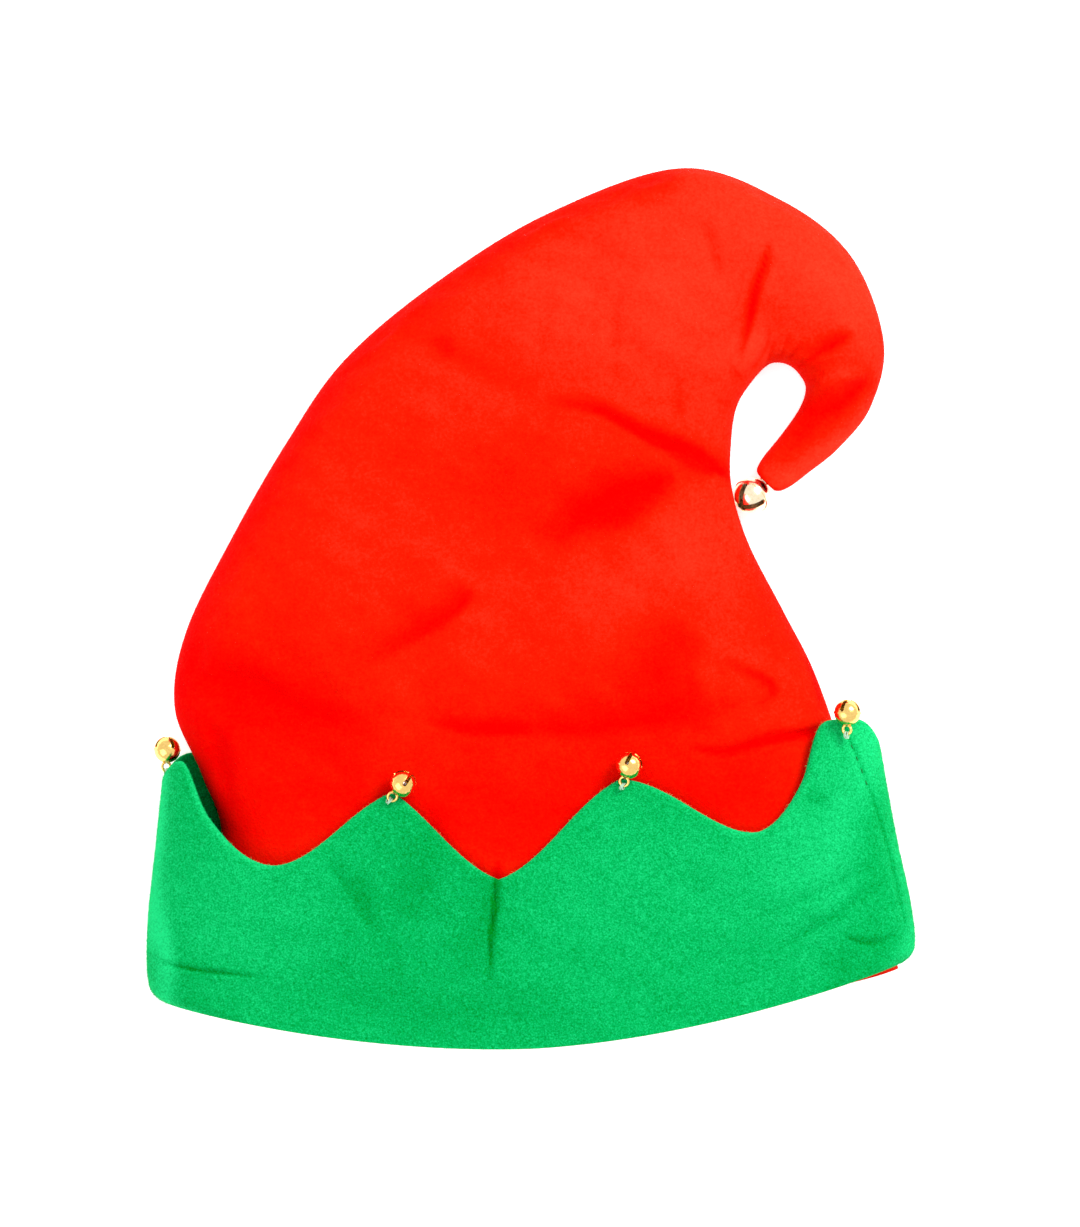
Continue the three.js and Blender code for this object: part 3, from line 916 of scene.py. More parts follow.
@dataclass(frozen=True)
class ThreadFinish:
    """Sewing thread, twisted from fine strands."""

    name: str
    light: Colour
    dark: Colour

    def material(self) -> bpy.types.Material:
        """Make the thread material."""
        bench = Bench(self.name)
        strands = bench.spread(bench.noise(6000, detail=2, rough=0.5), low=0.35, high=0.65)
        return bench.finish(
            Base_Color=bench.mix(strands, rgba(self.dark), rgba(self.light)),
            Roughness=0.6 + 0.2 * strands,
            Specular_IOR_Level=0.2,
            Normal=bench.bump(strands, depth=0.00005, strength=0.6),
        )


@dataclass(frozen=True)
class FloorFinish:
    """A pale matt backdrop, lit a little from below like a light table."""

    name: str
    colour: Colour
    glow: float

    def material(self) -> bpy.types.Material:
        """Make the floor material."""
        bench = Bench(self.name)
        grain = bench.spread(bench.noise(300, detail=2, rough=0.5), low=0.3, high=0.7)
        paler = tuple(min(1.0, 1.01 * c) for c in self.colour)
        return bench.finish(
            Base_Color=bench.mix(grain, rgba(self.colour), rgba(paler)),
            Roughness=0.9,
            Emission_Color=rgba(self.colour),
            Emission_Strength=self.glow,
        )


# each plush's dark, middle and light colours are painted shade, middle tone and painted light of one colour
RED_PLUSH = PlushFinish(
    name="red_plush",
    dark=(0.70, 0.0, 0.0),
    middle=(0.72, 0.0085, 0.0009),
    light=(0.78, 0.034, 0.013),
    tuft=0.0011,
    pile_depth=0.0003,
    sheen=0.08,
    grain=0.2,
    clump=0.1,
    cloud=0.06,
    deepen=0.34,
)
GREEN_PLUSH = PlushFinish(
    name="green_plush",
    dark=(0.0, 0.2, 0.008),
    middle=(0.001, 0.37, 0.084),
    light=(0.012, 0.64, 0.2),
    tuft=0.00068,
    pile_depth=0.0005,
    sheen=0.12,
    grain=0.56,
    clump=0.12,
    cloud=0.08,
    deepen=0.44,
)
# name, light, dark, rough
BRASS = MetalFinish("bell_brass", (0.97, 0.67, 0.21), (0.78, 0.42, 0.09), 0.1)
# a paler copy of the brass for the tip bell, a painted highlight for its blown-out reflections
PAINTED_HIGHLIGHT_BRASS = MetalFinish("pale_brass", (1.0, 0.9, 0.66), (0.93, 0.68, 0.36), 0.13)
STEEL = MetalFinish("ball_steel", (0.6, 0.6, 0.6), (0.4, 0.4, 0.4), 0.25)
# name, light, dark
PALE_THREAD = ThreadFinish("pale_thread", (0.55, 0.75, 0.6), (0.25, 0.5, 0.33))
GREEN_THREAD = ThreadFinish("green_thread", (0.0, 0.19, 0.03), (0.0, 0.1, 0.012))
FLOOR = FloorFinish("pale_floor", (0.93, 0.93, 0.93), 0.62)


# crown


DRAPE = {
    "quality": 5,
    "mass": 0.25,
    "tension_stiffness": 12,
    "compression_stiffness": 12,
    "shear_stiffness": 6,
    "bending_stiffness": 0.35,
    "air_damping": 4,
    "shrink_min": -0.012,  # less than 0, so the cloth is a little larger than its shape
    "shrink_max": -0.012,
    "use_pressure": True,
    "uniform_pressure_force": 0.6,
    "vertex_group_mass": "held",
}


@dataclass
class Crown:
    """The red bag of the hat: an upper and a lower panel sewn along the outline."""

    shift: Grid
    plush: bpy.types.Material
    wall: float = 1.5
    rows: int = 300
    front_columns: int = 160
    rear_columns: int = 90
    drape_rows: int = 120
    drape_columns: int = 48
    seam_split: float = 0.1
    bell_bump: float = 11.1
    bell_bump_wide: float = 15
    hem_peek: tuple[float, float] = (2.6, 0.3)
    # the painted light and shade: a middle tone, paler where the cloth leans to the light, and painted shade
    # along the rim
    light_heading: tuple[float, float] = (0.75, 0.66)
    middle_tone: float = 0.52
    lean_painted_light: float = 0.5
    lean_range: tuple[float, float] = (-0.45, 0.16)
    rim_shade: float = 0.34
    rim_wide: float = 8.5
    full_thickness: float = 22
    drape_frames: int = 22
    most_moved: float = 2.5
    above_cuff: float = 3

    @staticmethod
    def row_places(count: int) -> Grid:
        """Spread rows along the bag, evenly above the cuff and sparsely under it.

        Args:
            count: How many rows.

        Returns:
            Their places in the table of sections.
        """
        samples, under_cuff, sparse = 1500, 1.4, 0.3
        fine = np.linspace(0, len(CROWN_SECTIONS) - 1, samples)
        left_x, left_y, right_x, right_y = Sections(CROWN_SECTIONS).at(fine)[:4]
        step = np.hypot(np.diff(left_x), np.diff(left_y)) + np.hypot(np.diff(right_x), np.diff(right_y))
        step = step * np.where(fine[1:] < under_cuff, sparse, 1)
        length = np.concatenate([[0], np.cumsum(step)])
        return np.interp(np.linspace(0, length[-1], count), length, fine)

    @staticmethod
    def column_angles(count: int) -> Grid:
        """Spread columns over one panel by the length of the cloth.

        Args:
            count: How many runs there are between the columns.

        Returns:
            Their angles from the left seam, count and one more.
        """
        samples, half, high, full = 2000, 110, 20, 5
        fine = np.linspace(0, math.pi, samples)
        across, up = -half * np.cos(fine), high * np.sqrt(1 - np.abs(np.cos(fine)) ** full)
        length = np.concatenate([[0], np.cumsum(np.hypot(np.diff(across), np.diff(up)))])
        return np.interp(np.linspace(0, length[-1], count + 1), length, fine)

    def base(self, layer: Layer, rows: int, columns: int) -> tuple[Grid, Grid]:
        """Work out one panel's outer surface with its folds.

        Args:
            layer: Which panel.
            rows: How many rows along the bag.
            columns: How many runs across it.

        Returns:
            Points in millimetres, in the frame, and the painted light and shade there.
        """
        angles = self.column_angles(columns)
        if layer is Layer.REAR:
            angles = angles + math.pi
        place, angle = np.meshgrid(self.row_places(rows), angles, indexing="ij")
        points = Sections(CROWN_SECTIONS).points(place, angle)
        peek = rise(-np.cos(angle), start=0.88, width=0.06) * np.clip(1 - place / 0.35, 0, 1)
        points[..., :2] += peek[..., None] * self.hem_peek
        x, y = points[..., 0], points[..., 1]
        thick = Sections(CROWN_SECTIONS).at(place)[5]
        size = np.minimum(1, thick / self.full_thickness)
        at_seam = at_outline(angle)
        open_part = rise(place, start=2.0, width=1.2)
        puckers = SEAM_PUCKERS.over(x, y) * hump(1 - np.abs(np.cos(angle)), 0.06) * size
        if layer is Layer.FRONT:
            relief, painted_fold_shade = fold_relief(x, y, (*CROWN_FOLDS, *CUFF_FOLDS))
            soft = CROWN_SLACK.over(x, y) + CROWN_DENTS.over(x, y)
            lift = relief * size + soft * size * open_part
        else:
            painted_fold_shade = np.zeros_like(x)
            lift = np.abs(REAR_SLACK.over(x, y)) * open_part * size
            for bell in REAR_BELLS:
                away = np.hypot(x - bell.centre[0], y - bell.centre[1])
                lift = lift + self.bell_bump * hump(away, self.bell_bump_wide)
        points[..., 2] += (lift + puckers) * (1 - at_seam)
        points[..., 2] += (self.seam_split if layer is Layer.FRONT else -self.seam_split) * at_seam
        points[..., 2] = np.maximum(points[..., 2], LOWEST)
        return points + self.shift, self.nap(points, layer, painted_fold_shade)

    def nap(self, points: Grid, layer: Layer, painted_fold_shade: Grid) -> Grid:
        """Work out the painted light and shade: paler where the cloth leans to the light, darker in the folds
        and along the rim.
        """
        lean_x, lean_y = slopes(points)
        lean = lean_x * self.light_heading[0] + lean_y * self.light_heading[1]
        # painted light where the cloth leans to the light, painted shade in the pressed folds
        tone = self.middle_tone + self.lean_painted_light * np.clip(lean, *self.lean_range) - painted_fold_shade
        if layer is Layer.FRONT:
            x, y = points[..., 0], points[..., 1]
            # painted patches, and painted shade along the rim that faces away from the light
            rim = path_places(x, y, smooth_path(CROWN_RIM))[0]
            tone = tone + painted_patch_tone(x, y, CROWN_PAINTED_LIGHT) - self.rim_shade * hump(rim, self.rim_wide)
        return np.clip(tone, 0, 1)

    def hold(self) -> Grid:
        """Work out how firmly each point is held while the cloth settles: under the cuff, at the seam, below."""
        place = self.row_places(self.drape_rows)
        angle = np.concatenate([self.column_angles(self.drape_columns)[:-1]] * 2)
        cuff_end, cuff_fade, rear_hold = 4.3, 1.1, 0.5
        hold_rows = np.maximum(np.clip((cuff_end - place) / cuff_fade, 0, 1), rise(place, start=13, width=3))
        hold_seam = rise(np.abs(np.cos(angle)), start=0.9, width=0.08)
        hold_rear = np.repeat([0.0, rear_hold], self.drape_columns)
        return np.maximum(hold_rows[:, None], np.maximum(hold_seam, hold_rear)[None, :])

    def draped(self, coarse: Grid) -> Grid:
        """Let the cloth settle, a little larger than its shape, so that it wrinkles by itself.

        Args:
            coarse: The bag's outer surface round both panels, in millimetres.

        Returns:
            How far each point moved.
        """
        cloth = grid_mesh("crown_drape", coarse, close_columns=True)
        hold = self.hold()
        pins = cloth.vertex_groups.new(name="held")
        for index, weight in enumerate(hold.ravel()):
            if weight > 0:
                pins.add([index], float(weight), "REPLACE")
        make_active(cloth)
        modifier = cloth.modifiers.new("drape", "CLOTH")
        for setting, value in DRAPE.items():
            setattr(modifier.settings, setting, value)
        modifier.settings.effector_weights.gravity = 0.0
        modifier.collision_settings.use_collision = False
        modifier.point_cache.frame_start = 1
        modifier.point_cache.frame_end = self.drape_frames
        for number in range(1, self.drape_frames + 1):
            bpy.context.scene.frame_set(number)
        bpy.ops.object.modifier_apply(modifier=modifier.name)
        settled = np.empty(coarse.size)
        cloth.data.vertices.foreach_get("co", settled)
        bpy.data.objects.remove(cloth, do_unlink=True)
        bpy.context.scene.frame_set(1)
        moved = settled.reshape(coarse.shape) / MM - coarse
        return moved * (1 - hold)[..., None]

    def drape_moves(self) -> Grid | None:
        halves = [self.base(layer, self.drape_rows, self.drape_columns)[0][:, :-1] for layer in Layer]
        moved = self.draped(np.concatenate(halves, axis=1))
        reach = np.linalg.norm(moved, axis=-1, keepdims=True)
        log.info("crown cloth moved by up to %.1f mm, %.1f on average", reach.max(), reach.mean())
        return moved * np.minimum(1, self.most_moved / np.maximum(reach, 1e-6))

    def build(self) -> None:
        """Make both panels."""
        moved = self.drape_moves()
        skins, painted_lights, pieces = [], [], []
        for layer, name, columns in (
            (Layer.FRONT, "crown_front", self.front_columns), (Layer.REAR, "crown_back", self.rear_columns)
        ):
            points, nap = self.base(layer, self.rows, columns)
            if moved is not None:
                start = 0 if layer is Layer.FRONT else self.drape_columns
                rows = np.linspace(0, self.drape_rows - 1, self.rows)
                points = points + resample(moved, rows, start + np.linspace(0, self.drape_columns, columns + 1))
                points[..., 2] = np.maximum(points[..., 2], LOWEST)
            skins.append(points[:, :-1])
            painted_lights.append(nap[:, :-1])
            piece = grid_mesh(f"{name}_plush", points, nap=nap)
            apply_modifier(piece, "SOLIDIFY", thickness=self.wall * MM, offset=-1, use_even_offset=False)
            piece.data.materials.append(self.plush)
            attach(piece, "root")
            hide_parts(name)
            pieces.append(piece)
            log.info("%s: %d faces", piece.name, len(piece.data.polygons))
        first = int(np.searchsorted(self.row_places(self.rows), self.above_cuff))
        skin, nap = (np.concatenate(halves, axis=1)[first:] for halves in (skins, painted_lights))
        CROWN_PILE.build(self.plush, skin, nap, self.shift)


# cuff


@dataclass
class Cuff:
    """The green band round the rim, cut in points."""

    shift: Grid
    plush: bpy.types.Material
    wall: float = 2.5
    columns_per_slope: int = 32
    outer_rows: int = 100
    inner_rows: int = 22
    edge_rows: int = 5
    usual_height: float = 100
    path_stray: float = 0.8
    least_plump: float = -0.3
    seam_wide: float = 0.9
    seam_deep: float = 0.4
    # the painted light and shade: painted shade along the sunk seam, paler where the band leans to the light, a
    # painted sheen on its rolled edges, and one fixed, darker tone inside
    seam_shade: float = 0.12
    middle_tone: float = 0.5
    lean_painted_light: float = 0.3
    most_lean: float = 0.4
    light_heading: tuple[float, float] = (0.7, 0.7)
    edge_painted_sheen: float = 0.2
    inside_tone: float = 0.38

    def edge(self) -> tuple[Grid, Grid]:
        """Work out the top edge.

        Returns:
            The angle of each column, and its reach as a share of the cuff's height.
        """
        count = len(ZIGZAG)
        turns = np.array([self.angle_of(turn) for turn in ZIGZAG] + [FULL_TURN])
        reach = np.array([turn.reach for turn in (*ZIGZAG, ZIGZAG[0])])
        blunt = np.array([turn.blunt for turn in (*ZIGZAG, ZIGZAG[0])])
        spans, rises = np.diff(turns), np.diff(reach)
        s = np.arange(self.columns_per_slope) / self.columns_per_slope
        angles, reaches = [], []
        for number, (span, climb) in enumerate(zip(spans, rises)):
            leans = (1 - blunt[number : number + 2]) * climb
            at_ends = ((number - 1, number), (number, (number + 1) % count))
            for side, (before, after) in enumerate(at_ends):
                if blunt[after] == 0:
                    leans[side] = (rises[before] + rises[after]) / (spans[before] + spans[after]) * span
            angles.append(turns[number] + span * s)
            bend = s * (1 - s) * (leans[0] * (1 - s) - leans[1] * s)
            reaches.append(reach[number] + climb * s * s * (3 - 2 * s) + bend)
        return np.concatenate(angles), np.concatenate(reaches)

    @staticmethod
    def angle_of(turn: Turn) -> float:
        """Give a turn's angle round the hat."""
        angle = math.acos(-turn.across)
        return angle if turn.layer is Layer.FRONT else FULL_TURN - angle

    def section(self) -> tuple[Grid, Grid]:
        """Go once round the wall's section: up the outside, over the top edge, down the inside, round the rim.

        Returns:
            How far up the band each row is, and how deep in the cloth, both from 0 to 1.
        """
        edge = self.wall / 2 / self.usual_height
        turns = np.linspace(0, math.pi, self.edge_rows + 2)[1:-1]
        up = np.linspace(edge, 1 - edge, self.outer_rows)
        down = np.linspace(1 - edge, edge, self.inner_rows)
        top_edge = 1 - edge + edge * np.sin(turns)
        rim = edge - edge * np.sin(turns)
        outside, inside = np.zeros(self.outer_rows), np.ones(self.inner_rows)
        depth = np.concatenate([outside, (1 - np.cos(turns)) / 2, inside, (1 + np.cos(turns)) / 2])
        return np.concatenate([up, top_edge, down, rim]), depth

    def surface(self) -> tuple[Grid, Grid]:
        """Work out the band as a closed wall with rounded edges.

        Returns:
            Points in millimetres, in the frame, with rows that go round the wall's section. And the painted
            light and shade at each.
        """
        angle, reach = self.edge()
        share, depth = self.section()
        share_grid, angle_grid = np.meshgrid(share, angle, indexing="ij")
        depth_grid = np.repeat(depth[:, None], len(angle), axis=1)
        outer = depth_grid < 0.5
        place = (len(CUFF_SECTIONS) - 1) * reach[None, :] * share_grid
        sections = Sections(CUFF_SECTIONS)
        outside = sections.points(place, angle_grid)
        inside = sections.points(place, angle_grid, self.wall)
        points = outside + (inside - outside) * depth_grid[..., None]
        x, y = points[..., 0], points[..., 1]
        front = np.clip(np.sin(angle_grid) * 6, 0, 1)
        away = 1 - at_outline(angle_grid)
        relief, painted_fold_shade = fold_relief(x, y, CUFF_FOLDS, self.path_stray)
        plump = np.maximum(CUFF_DENTS.over(x, y) + CUFF_SLACK.over(x, y), self.least_plump)
        seam = path_places(x, y, smooth_path(SIDE_SEAM))[0]
        stitched = hump(seam, self.seam_wide) * outer
        points[..., 2] += ((relief + plump) * away - self.seam_deep * stitched) * front
        # painted light and shade: paler where the band leans to the light, painted patches, a painted sheen on
        # the rolled edges, painted shade in the folds and along the seam, and one fixed tone inside
        lean_x, lean_y = slopes(points)
        lean = self.light_heading[0] * lean_x + self.light_heading[1] * lean_y
        tone = self.middle_tone + self.lean_painted_light * np.clip(lean, -self.most_lean, self.most_lean)
        tone = tone + painted_patch_tone(x, y, CUFF_PAINTED_LIGHT)
        # painted sheen where the band turns down at its edges
        tone += self.edge_painted_sheen * rise(np.hypot(lean_x, lean_y), start=0.35, width=0.5) * outer
        tone -= (painted_fold_shade * away + self.seam_shade * stitched) * front
        tone = np.where(depth_grid > 0.6, self.inside_tone, tone)
        normal_z = np.where(np.sin(angle_grid) > 0, 1, -1) * outer
        points[..., 2] += CUFF_TUFTS.over(x, y) * normal_z * away * front
        return points + self.shift, np.clip(tone, 0, 1)

    def build(self) -> bpy.types.Object:
        """Make the band."""
        points, nap = self.surface()
        CUFF_PILE.build(self.plush, points[: self.outer_rows + self.edge_rows], nap, self.shift)
        piece = grid_mesh("cuff_plush", points, close_columns=True, close_rows=True, nap=nap)
        piece.data.materials.append(self.plush)
        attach(piece, "root")
        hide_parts("cuff")
        log.info("%s: %d faces", piece.name, len(piece.data.polygons))
        return piece


@dataclass(frozen=True)
class Pile:
    """The fuzz of a cloth: short fibres that stand out of it, more of them where it turns down at an edge."""

    name: str
    slot: str
    count: int
    shortest: float
    longest: float
    half_width: float
    at_edge: float
    paler: tuple[float, float]
    bell_room: float = 9.5
    lowest: float = 1.5
    buried: float = 0.2
    stand: tuple[float, float] = (0.25, 0.75)
    corner_turns: tuple[float, float, float] = (0.5, 2.6, 4.7)
    seed: int = 41

    def build(self, plush: bpy.types.Material, points: Grid, nap: Grid, shift: Grid) -> None:
        """Plant the fibres over the parts of a surface that face up or out.

        Args:
            plush: The cloth's material.
            points: The surface in millimetres, in rows and closed columns.
            nap: The painted light and shade at each point, which the fibres take on.
            shift: Where the hat's own middle lies in the frame.
        """
        rng = np.random.default_rng(self.seed)
        corner = points[:-1]
        next_column = np.roll(points, -1, axis=1)[:-1]
        normal = np.cross(next_column - corner, points[1:] - corner)
        area = np.linalg.norm(normal, axis=-1)
        normal /= np.maximum(area, 1e-9)[..., None]
        open_to = rise(normal[..., 2], start=-0.35, width=0.3) * (corner[..., 2] > self.lowest)
        open_to = open_to * (1 + self.at_edge * np.clip(1 - normal[..., 2], 0, 1) ** 2)
        for bell in (*POINT_BELLS, TIP_BELL):
            to_bell = np.linalg.norm(corner - shift - np.array(bell.centre), axis=-1)
            open_to = open_to * (to_bell > self.bell_room)
        share = (area * open_to).ravel()
        cell = rng.choice(share.size, self.count, p=share / share.sum())
        row, column = np.divmod(cell, area.shape[1])
        down, along = rng.random((2, self.count, 1))
        across_way = next_column[row, column] - corner[row, column]
        up_way = points[row + 1, column] - corner[row, column]
        out = normal[row, column]
        root = corner[row, column] + along * across_way + down * up_way - self.buried * out
        heading = rng.normal(size=(self.count, 3))
        heading -= (heading * out).sum(-1, keepdims=True) * out
        heading /= np.linalg.norm(heading, axis=-1, keepdims=True)
        beside = np.cross(out, heading)
        longer_at_edge = 1.5 - 0.5 * np.abs(out[:, 2:])
        length = rng.uniform(self.shortest, self.longest, (self.count, 1)) * longer_at_edge
        lift = rng.uniform(*self.stand, (self.count, 1))
        tip = root + length * (lift * out + np.sqrt(1 - lift**2) * heading)
        base = [
            root + self.half_width * (math.cos(turn) * beside + math.sin(turn) * out)
            for turn in self.corner_turns
        ]
        verts = np.stack([*base, tip], axis=1)
        faces = np.array([[0, 1, 3], [1, 2, 3], [2, 0, 3], [0, 2, 1]])
        triangles = (np.arange(self.count)[:, None, None] * 4 + faces[None]).reshape(-1, 3)
        mesh = bpy.data.meshes.new(self.name)
        mesh.from_pydata((verts.reshape(-1, 3) * MM).tolist(), [], triangles.tolist())
        tone = nap[row, column] + rng.uniform(*self.paler, self.count)
        set_painted_light(mesh, np.repeat(np.clip(tone, 0, 1), 4))
        piece = link_piece(self.name, mesh)
        piece.data.materials.append(plush)
        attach(piece, "root")
        log.info("%s: %d fibres", piece.name, self.count)


# name, slot, count, shortest, longest, half_width, at_edge, paler
CROWN_PILE = Pile("crown_pile", "red_plush", 18000, 0.35, 0.8, 0.06, 30, (-0.05, 0.1))
CUFF_PILE = Pile("cuff_pile", "green_plush", 48000, 0.5, 1.15, 0.075, 1.2, (-0.2, 0.5))


@dataclass
class Stitches:
    """The dashed stitch line of the cuff's side seam."""

    shift: Grid
    thread: bpy.types.Material
    cloth: bpy.types.Object
    length: float = 2.7
    gap: float = 2.2
    radius: float = 0.24
    sides: int = 8
    steps: int = 7
    first: float = 0.8
    arch: float = 0.35
    buried: float = 0.3
    thin_end: float = 0.55

    def surface_at(self, x: float, y: float) -> Vector:
        """Find the top of the cloth over a point of the plan, in millimetres."""
        hit, place, _, _ = self.cloth.ray_cast(Vector((x, y, 100)) * MM, Vector((0, 0, -1)))
        return place / MM if hit else Vector((x, y, 0))

    def tube(self, start: Vector, end: Vector) -> Grid:
        """Make the rings of one stitch, which dips into the cloth at both ends."""
        rings = []
        along = (end - start).normalized()
        side = Vector((-along.y, along.x, 0)).normalized()
        over = along.cross(side)
        for step in range(self.steps):
            share = step / (self.steps - 1)
            swell = math.sin(math.pi * share)
            middle = start.lerp(end, share) + Vector((0, 0, self.arch * swell - self.buried))
            radius = self.radius * (self.thin_end + (1 - self.thin_end) * swell)
            ring = [
                middle + radius * (math.cos(turn) * side + math.sin(turn) * over)
                for turn in np.arange(self.sides) * FULL_TURN / self.sides
            ]
            rings.append([tuple(point) for point in ring])
        return np.array(rings)

    def build(self) -> None:
        """Sew the seam."""
        path = np.array(smooth_path(SIDE_SEAM, 12)) + self.shift[:2]
        runs = np.concatenate([[0], np.cumsum(np.hypot(*np.diff(path, axis=0).T))])
        made = []
        start = self.first
        while start + self.length < SEEN_STITCHES * runs[-1]:
            ends = []
            for place in (start, start + self.length):
                x, y = np.interp(place, runs, path[:, 0]), np.interp(place, runs, path[:, 1])
                ends.append(self.surface_at(float(x), float(y)))
            made.append(grid_mesh(f"stitch_{len(made)}", self.tube(*ends), close_columns=True))
            start += self.length + self.gap
        piece = join_pieces(made, "side_seam_stitches")
        piece.data.materials.append(self.thread)
        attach(piece, "root")
        log.info("%s: %d stitches", piece.name, len(made))


# bells


@dataclass
class BellShape:
    """A jingle bell, in shares of its radius."""

    wall: float = 0.09
    ridge_out: float = 0.05
    ridge_half: float = 0.07
    slit: float = 0.3
    slit_end: float = 0.3
    slit_hole: float = 0.16
    loop_radius: float = 0.34
    loop_wire: float = 0.1
    cutter_long: float = 2.6
    ridge_band: float = 0.14
    ring_half: float = 0.13  # half the height of the sphere's two middle rings
    segments: int = 40
    rings: int = 24

    def build(self, name: str, radius: float) -> bpy.types.Object:
        """Model a bell at the origin, with its slits up and its loop down.

        Args:
            name: The bell's name.
            radius: Its radius in metres.

        Returns:
            The bell.
        """
        deselect_all()
        bpy.ops.mesh.primitive_uv_sphere_add(segments=self.segments, ring_count=self.rings, radius=radius)
        bell = bpy.context.object
        bell.name = name
        self._raise_ridge(bell, radius)
        apply_modifier(bell, "SOLIDIFY", thickness=self.wall * radius, offset=-1)
        for turn in (0.0, math.pi / 2):
            self._cut(bell, self._slot(radius, turn))
            self._cut(bell, self._hole(radius, turn))
        self._add_loop(bell, radius)
        make_active(bell)
        bpy.ops.object.shade_smooth_by_angle(angle=math.radians(40))
        return bell

    def _raise_ridge(self, bell: bpy.types.Object, radius: float) -> None:
        """Crimp the joint of the two halves into a low ridge round the middle."""
        make_active(bell)
        bpy.ops.object.mode_set(mode="EDIT")
        bpy.ops.mesh.select_mode(type="FACE")
        bpy.ops.mesh.select_all(action="DESELECT")
        mesh = bmesh.from_edit_mesh(bell.data)
        for face in mesh.faces:
            face.select = abs(face.calc_center_median().z) < self.ridge_band * radius
        bmesh.update_edit_mesh(bell.data)
        bpy.ops.transform.resize(value=(1, 1, self.ridge_half / self.ring_half))
        out = {"value": self.ridge_out * radius}
        bpy.ops.mesh.extrude_region_shrink_fatten(TRANSFORM_OT_shrink_fatten=out)
        bpy.ops.mesh.select_all(action="SELECT")
        bpy.ops.mesh.normals_make_consistent(inside=False)
        bpy.ops.object.mode_set(mode="OBJECT")

    def _slot(self, radius: float, turn: float) -> bpy.types.Object:
        """Make the cutter of one slit."""
        deselect_all()
        bpy.ops.mesh.primitive_cube_add(size=1, location=(0, 0, self.slit_end * radius + radius / 2))
        cutter = bpy.context.object
        bpy.ops.transform.resize(value=(self.slit * radius, self.cutter_long * radius, radius))
        bpy.ops.transform.rotate(value=turn, orient_axis="Z", center_override=(0, 0, 0))
        return cutter

    def _hole(self, radius: float, turn: float) -> bpy.types.Object:
        """Make the cutter of the round ends of one slit."""
        deselect_all()
        bpy.ops.mesh.primitive_cylinder_add(
            vertices=20, radius=self.slit_hole * radius, depth=self.cutter_long * radius,
            rotation=(math.pi / 2, 0, 0), location=(0, 0, self.slit_end * radius),
        )
        cutter = bpy.context.object
        bpy.ops.transform.rotate(value=turn, orient_axis="Z", center_override=(0, 0, 0))
        return cutter

    @staticmethod
    def _cut(bell: bpy.types.Object, cutter: bpy.types.Object) -> None:
        """Take a cutter out of the bell and throw the cutter away."""
        apply_modifier(bell, "BOOLEAN", operation="DIFFERENCE", object=cutter, solver="EXACT")
        bpy.data.objects.remove(cutter, do_unlink=True)

    def _add_loop(self, bell: bpy.types.Object, radius: float) -> None:
        """Join the sewing loop to the bell."""
        deselect_all()
        bpy.ops.mesh.primitive_torus_add(
            major_radius=self.loop_radius * radius, minor_radius=self.loop_wire * radius,
            major_segments=28, minor_segments=12, rotation=(math.pi / 2, 0, 0),
            location=(0, 0, -radius * (1 + self.loop_radius - self.loop_wire / 2)),
        )
        join_pieces([bell, bpy.context.object], bell.name)


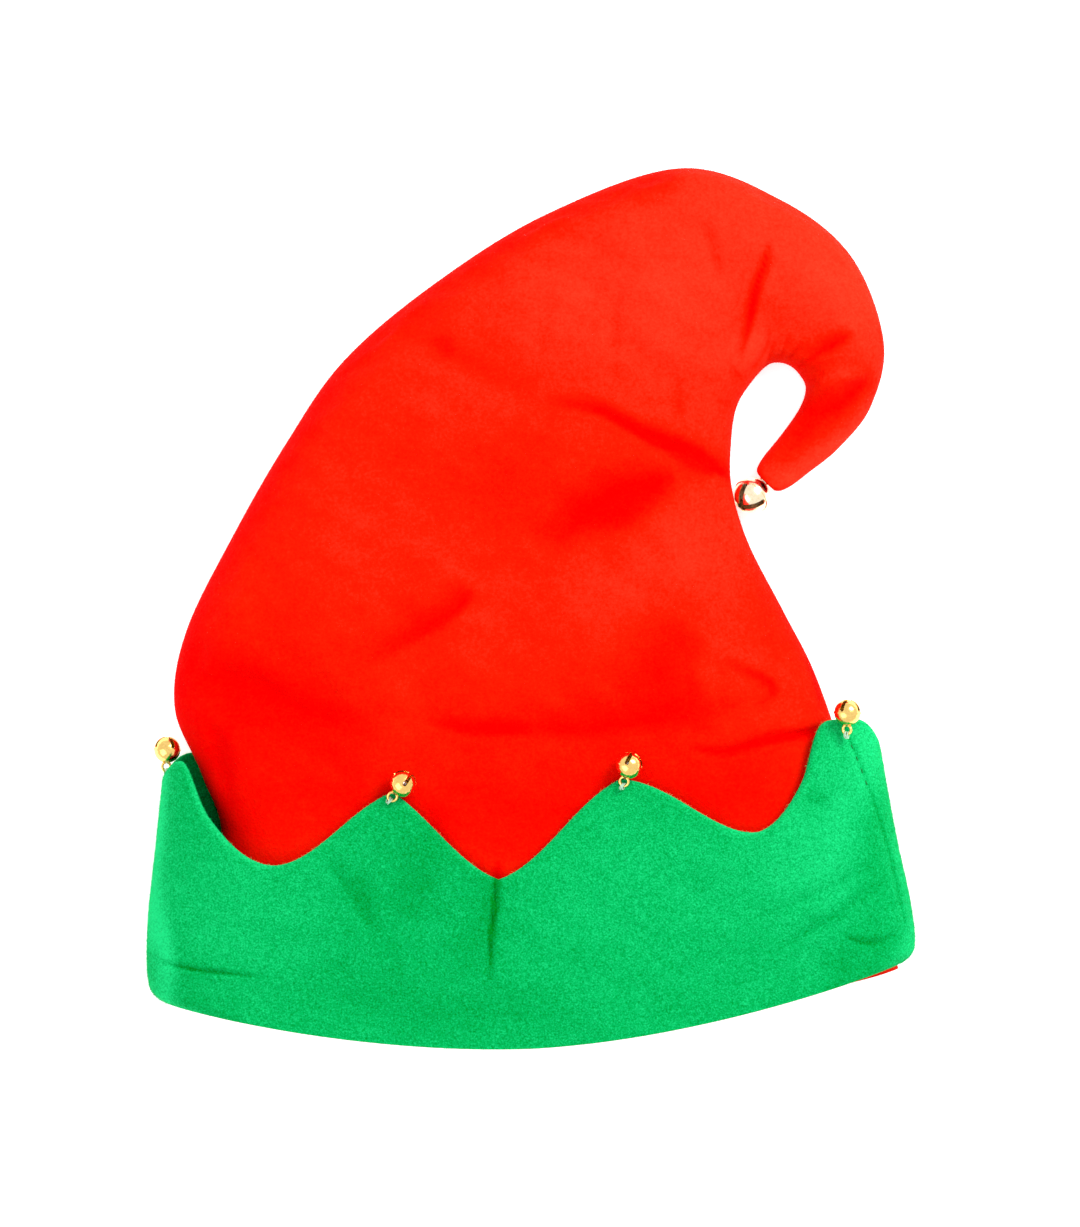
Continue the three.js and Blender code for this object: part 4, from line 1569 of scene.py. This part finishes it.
@dataclass
class Bells:
    """The bells on the points and at the tip, with the threads that sew them on."""

    shift: Grid
    brass: bpy.types.Material
    # the paler brass is a painted highlight on the tip bell
    pale_brass: bpy.types.Material
    steel: bpy.types.Material
    thread: bpy.types.Material
    small_radius: float = 5.0
    large_radius: float = 7.0
    thread_radius: float = 0.21
    thread_turns: int = 4
    thread_pitch: float = 0.34
    thread_lean: tuple[float, float] = (0.35, 0.3)
    thread_stray: tuple[float, float] = (0.2, 0.15)
    thread_clear: float = 0.1
    shape: BellShape = field(default_factory=BellShape)

    def placing(self, place: BellPlace) -> Matrix:
        """Work out a bell's place and turn.

        Args:
            place: The bell's row.

        Returns:
            The matrix that takes a bell from the origin to its place.
        """
        aim, dip = math.radians(place.aim), math.radians(place.dip)
        to_loop = Vector((math.cos(aim) * math.cos(dip), math.sin(aim) * math.cos(dip), -math.sin(dip)))
        away = -to_loop
        side = Vector((0, 0, 1)).cross(away).normalized()
        turned = Matrix((side, away.cross(side), away)).transposed().to_4x4()
        centre = (Vector(place.centre) + Vector(self.shift)) * MM
        return Matrix.Translation(centre) @ turned @ Matrix.Rotation(math.radians(place.turn), 4, "Z")

    def build(self) -> None:
        """Make every bell."""
        small = self.shape.build("small_bell", self.small_radius * MM)
        large = self.shape.build("large_bell", self.large_radius * MM)
        for place in (*POINT_BELLS, TIP_BELL):
            model = large if place is TIP_BELL else small
            mesh = model.data.copy()
            mesh.transform(self.placing(place))
            bell = link_piece(f"{place.node}_brass", mesh)
            mesh.materials.clear()
            # the tip bell gets the paler brass: a painted highlight
            mesh.materials.append(self.pale_brass if place is TIP_BELL else self.brass)
            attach(bell, "root")
            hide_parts(place.node)
            log.info("%s: %d faces", bell.name, len(mesh.polygons))
            self.sew(place, self.large_radius if place is TIP_BELL else self.small_radius)
        for model in (small, large):
            bpy.data.objects.remove(model, do_unlink=True)

    def sew(self, place: BellPlace, radius: float) -> None:
        """Wind thread through a bell's loop and into the cloth under it.

        Args:
            place: The bell's row.
            radius: Its radius in millimetres.
        """
        rng = np.random.default_rng(sum(map(ord, place.node)))
        middle = -radius * (1 + 2 * self.shape.loop_radius)
        made = []
        for number in range(self.thread_turns):
            deselect_all()
            bpy.ops.mesh.primitive_torus_add(
                major_radius=MM * (0.22 * radius + 0.12), minor_radius=self.thread_radius * MM,
                major_segments=20, minor_segments=8, rotation=(0, math.pi / 2, 0),
            )
            turn = bpy.context.object
            leans = [rng.uniform(-most, most) for most in self.thread_lean]
            strays = [rng.uniform(-most, most) for most in self.thread_stray]
            lean = Matrix.Rotation(leans[0], 4, "Y") @ Matrix.Rotation(leans[1], 4, "Z")
            across = self.thread_pitch * (number - (self.thread_turns - 1) / 2)
            shove = Vector((across, strays[0], middle + strays[1])) * MM
            turn.data.transform(self.placing(place) @ Matrix.Translation(shove) @ lean @ turn.matrix_world)
            turn.matrix_world = Matrix.Identity(4)
            lowest = min(vertex.co.z for vertex in turn.data.vertices)
            turn.data.transform(Matrix.Translation((0, 0, max(0, self.thread_clear * MM - lowest))))
            made.append(turn)
        piece = join_pieces(made, f"{place.node}_thread")
        bpy.ops.object.shade_smooth()
        piece.data.materials.append(self.thread)
        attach(piece, "root")

    def dress_balls(self) -> None:
        """Give the loose balls in the bells their steel."""
        for piece in bpy.data.objects:
            if "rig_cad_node" in piece and "ball" in piece.name:
                for slot in piece.material_slots:
                    slot.material = self.steel


# studio


@dataclass
class Studio:
    """The floor, the lights and the camera over the hat."""

    centre: tuple[float, float] = (0.0036, -0.0025)
    view_height: float = 0.465
    level: float = 0.012
    distance: float = 2.4
    sensor: float = 24

    def build(self) -> None:
        """Make the studio."""
        self._floor()
        self._light("key", place=(1.15, 1.05, 1.35), size=0.9, power=36)
        self._light("fill", place=(-1.2, -0.8, 1.5), size=1.6, power=13)
        self._world(strength=1.0)
        self._camera()
        bpy.context.scene.view_settings.view_transform = "Standard"

    def _floor(self) -> None:
        """Lay the floor."""
        deselect_all()
        bpy.ops.mesh.primitive_plane_add(size=8, location=(0, 0, 0))
        floor = bpy.context.object
        floor.name = "floor"
        floor.data.materials.append(FLOOR.material())

    @staticmethod
    def _light(name: str, place: tuple[float, float, float], size: float, power: float) -> None:
        """Hang a soft light that faces the hat."""
        deselect_all()
        bpy.ops.object.light_add(type="AREA", location=place)
        lamp = bpy.context.object
        lamp.name = name
        lamp.data.size = size
        lamp.data.energy = power
        lamp.rotation_euler = (-Vector(place)).to_track_quat("-Z", "Y").to_euler()

    @staticmethod
    def _world(strength: float) -> None:
        """Fill the room with even light."""
        world = bpy.data.worlds.new("studio")
        world.use_nodes = True
        background = world.node_tree.nodes["Background"]
        background.inputs["Color"].default_value = (1, 1, 1, 1)
        background.inputs["Strength"].default_value = strength
        bpy.context.scene.world = world

    def _camera(self) -> None:
        """Hang the camera straight above the hat."""
        deselect_all()
        bpy.ops.object.camera_add(location=(*self.centre, self.level + self.distance), rotation=(0, 0, 0))
        camera = bpy.context.object
        camera.data.sensor_fit = "VERTICAL"
        camera.data.sensor_height = self.sensor
        camera.data.lens = self.sensor * self.distance / self.view_height
        camera.data.clip_end = 20
        bpy.context.scene.camera = camera


def main() -> None:
    """Build the hat and its studio."""
    logging.basicConfig(level=logging.INFO, format="%(message)s")
    shift = frame_shift()
    log.info("hat shifted by %.3f, %.3f mm", shift[0], shift[1])
    Studio().build()
    Crown(shift, RED_PLUSH.material()).build()
    cuff = Cuff(shift, GREEN_PLUSH.material()).build()
    Stitches(shift, GREEN_THREAD.material(), cuff).build()
    bells = Bells(shift, BRASS.material(), PAINTED_HIGHLIGHT_BRASS.material(), STEEL.material(), PALE_THREAD.material())
    bells.build()
    bells.dress_balls()


if __name__ == "__main__":
    main()
